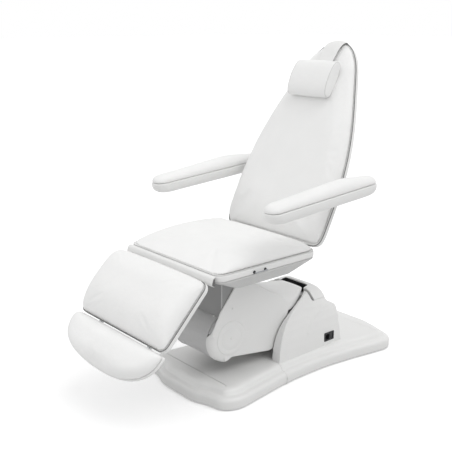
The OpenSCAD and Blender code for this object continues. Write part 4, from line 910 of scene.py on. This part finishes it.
nose = arc(HUB, NOSE_R, NOSE_LOW, NOSE_HIGH, 40)
line = np.vstack([nose, [HUB + RUN * np.array(q) for q in cover_shares]])[::-1]
line = resample(line, 400)
reach = np.linalg.norm(line - HUB, axis=1)
angle = np.degrees(np.arctan2(line[:, 1] - HUB[1], line[:, 0] - HUB[0])) % 360
round_nose = (np.abs(reach - NOSE_R) < 0.0015) & (angle > NOSE_HIGH - 3) & (angle < NOSE_LOW + 4)
swing = np.clip((angle - NOSE_HIGH) / 9, 0, 1)
roll = np.where(round_nose, EDGE_ROLL + (NOSE_ROLL - EDGE_ROLL) * swing, EDGE_ROLL)
for _ in range(12):
    roll = (np.roll(roll, 1) + roll * 2 + np.roll(roll, -1)) / 4
for side, word in SIDES:
    rings = []
    for a in np.radians(np.linspace(0, 90, 8)):
        p = drawn(softened(line, 2), roll * (1 - math.cos(a)))
        x = CASING - roll * (1 - math.sin(a)) * 0.9
        rings.append(np.column_stack([side * x, p]))
    rings.insert(0, rings[0] - np.array([side * 0.0022, 0, 0]))
    mesh = applied(lofted(rings, caps=(False, True)), thickened(0.003))
    place(mesh, WORLD, f"arm_casing_{word}", PLASTIC, "lift_arm", (f"arm_cover_{word}",),
          sharp=35)
    rows = [np.column_stack([np.full(96, side * (CASING + h)), round_hub(r)]) for r, h in boss_rows]
    place(lofted(rows), WORLD, f"hub_boss_{word}", PLASTIC, "lift_arm", sharp=50)

# Hood and roof of the arm: one curved sheet. Stations of y, then half sections of [x, z], side to ridge,
# in thousandths of a metre
roof = [(-279, (137.5, 452), (138, 462), (135, 467), (120, 469), (60, 471), (0, 471.5)),
        (-207, (137.5, 412), (138, 420), (135, 426), (120, 429), (60, 431), (0, 432)),
        (-155, (137.5, 380), (138, 389), (135, 395), (120, 398.5), (60, 401), (0, 402)),
        (-112, (137.5, 352), (138, 366), (134, 374), (118, 378.5), (60, 381.5), (0, 382.5)),
        (-82, (138, 318), (137.5, 346), (131, 359.5), (112, 367), (56, 371.5), (0, 373)),
        (-52, (138, 280), (137, 322), (128, 343), (104, 355), (52, 361.5), (0, 363.5)),
        (-14, (131.5, 284), (129, 314), (117, 336), (95, 346.5), (48, 352.5), (0, 354.5)),
        (34.6, (116, 305), (113, 320), (101, 333), (84, 340.5), (42, 345), (0, 346.5)),
        (72.5, (95, 322), (92, 329), (86, 335.5), (74, 339), (37, 341.8), (0, 342.5)),
        (111, (68.6, 331), (67.9, 333.6), (65, 336), (60, 337.2), (30, 338.6), (0, 339.1))]
rows = [[(x / 1000, y / 1000, z / 1000) for x, z in sec + [(-x, z) for x, z in sec[-2::-1]]]
        for y, *sec in roof]
place(applied(sheet_of(rows), subdivided(3), thickened(0.0035)), WORLD, "arm_roof", PLASTIC, "lift_arm",
      ("arm_hood",), sharp=40)

# Small fittings that only show
BUTTON_SHARES = [(1, -0.3), (1, 0.25), (0.96, 0.55), (0.86, 0.82), (0.66, 0.96), (0.4, 1.0), (0.36, 0.7),
                 (0.05, 0.7)]


def button(name, at, axis, r, h, material, body):
    """A turned button: a low dome with a round recess in its top."""
    t = np.linspace(0, 2 * math.pi, 24, endpoint=False)
    rows = [np.column_stack([q * r * np.cos(t), q * r * np.sin(t), np.full(24, z * h)])
            for q, z in BUTTON_SHARES]
    turn = Vector((0, 0, 1)).rotation_difference(Vector(axis)).to_matrix().to_4x4()
    return place(lofted(rows), Matrix.Translation(at) @ turn, name, material, body, sharp=50)


# The drum's ends beside the casing, and the recessed panel over it with its returns; the panel and returns
# are dark grey as painted shade, and the drum's grey is partly painted shade
PANEL_Y, PANEL_TOP = -0.431, 0.497
return_pts = [(PANEL_Y, 0.352), (-0.422, 0.352), (-0.426, 0.373), (-0.347, 0.4675), (-0.322, PANEL_TOP),
              (PANEL_Y, PANEL_TOP)]
panel_pts = [(PANEL_Y - 0.0002, 0.344), (PANEL_Y + 0.001, 0.344), (PANEL_Y + 0.001, PANEL_TOP),
             (PANEL_Y - 0.0002, PANEL_TOP)]
sector = np.vstack([arc(HUB, 0.1038, 120, 160, 20), arc(HUB, 0.095, 160, 120, 20)])
place(prism(panel_pts, "x", -0.1322, 0.1322), WORLD, "shroud_panel", RECESS_SHADE, "seat", sharp=30)
for side, word in SIDES:
    # The drum's skirts and ends: grey of their own, darkened further as painted shade
    skirt = prism(round_hub(0.1085), "x", side * 0.0980, side * 0.1112)
    place(skirt, WORLD, f"drum_skirt_{word}", SHROUD_GREY_SHADE, "seat", sharp=30)
    end = prism(sector, "x", side * 0.1116, side * 0.1350)
    place(end, WORLD, f"drum_side_{word}", SHROUD_GREY_SHADE, "lift_arm", sharp=30)
    # The returns' dark grey is painted shade
    fold = prism(return_pts, "x", side * 0.1305, side * 0.1325)
    place(fold, WORLD, f"shroud_return_{word}", RECESS_SHADE, "seat", sharp=30)
    button(f"cover_screw_{word}", (side * CASING, -0.3755, 0.3764), (side, 0, 0), r=0.0042, h=0.0014,
           material=PIPING, body="lift_arm")
    button(f"shroud_screw_{word}", (side * 0.088, -0.4330, 0.3430), (0, -0.55, 0.83), r=0.0045, h=0.002,
           material=PLASTIC, body="seat")
lo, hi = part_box("control_bail")
for k, y in enumerate((lo.y + 0.0025, hi.y - 0.0025)):
    button(f"bail_grommet_{k}", (0.3002, y, (lo.z + hi.z) / 2), (1, 0, 0), r=0.0065, h=0.004, material=BLACK,
           body="seat")

# Finishes of the CAD parts, those that stay and those that a piece replaces
# The carrier's shroud: grey plastic with painted shade
dress(SHROUD_GREY_SHADE, "carrier_shroud")
# The pan's darker grey is painted shade
dress(PAN_SHADE, "seat_pan")
dress(PAINT, "floor_plate", "mast_left", "mast_right", "lift_bars", "parallel_link", "carrier_column",
      "seat_frame", "back_bar_left", "back_bar_right", "leg_guide_left", "leg_guide_right")
dress(STEEL, "mast_shaft_upper", "mast_shaft_lower", "motor_shaft", "hub_shaft", "carrier_shaft", "rest_axle")
dress(ROD, "lift_rod", "foot_rod_left", "foot_rod_right")
dress(CHROME, "control_bail")
dress(BLACK, "mains_inlet", "inlet_rocker", "control_box", "lift_motor")
dress(PLASTIC, "arm_belly", "hub_caps", "foot_board", "rest_shell_left", "rest_shell_right",
      "base_cover_front", "base_cover_rear", "tower_side_left", "tower_side_right", "tower_back",
      "arm_cover_left", "arm_cover_right", "arm_hood")
dress(LEATHER, "seat_cushion", "seat_flap", "back_cushion", "pillow", "pillow_strap", "rest_pad_left",
      "rest_pad_right", "leg_cushion", "foot_cushion", "seat_board", "back_board", "leg_board")

# Floor, which keeps the object's shadow and glows a little to the camera alone
FLOOR_W = 120
FLOOR_TONE, FLOOR_GLOW = 0.78, 0.36
bpy.ops.mesh.primitive_plane_add(size=FLOOR_W, location=(0, 0, 0))
floor = bpy.context.object
floor.name = "floor"
fm = bpy.data.materials.new("floor")
fm.use_nodes = True
nt = fm.node_tree
b = nt.nodes["Principled BSDF"]
b.inputs["Base Color"].default_value = (FLOOR_TONE, FLOOR_TONE, FLOOR_TONE, 1)
b.inputs["Roughness"].default_value = 0.9
b.inputs["Specular IOR Level"].default_value = 0.1
path = nt.nodes.new("ShaderNodeLightPath")
glow = nt.nodes.new("ShaderNodeEmission")
glow.inputs["Color"].default_value = (1, 1, 1, 1)
scale = nt.nodes.new("ShaderNodeMath")
scale.operation = "MULTIPLY"
scale.inputs[1].default_value = FLOOR_GLOW
nt.links.new(path.outputs["Is Camera Ray"], scale.inputs[0])
nt.links.new(scale.outputs[0], glow.inputs["Strength"])
both = nt.nodes.new("ShaderNodeAddShader")
nt.links.new(b.outputs[0], both.inputs[0])
nt.links.new(glow.outputs[0], both.inputs[1])
nt.links.new(both.outputs[0], nt.nodes["Material Output"].inputs["Surface"])
floor.data.materials.append(fm)
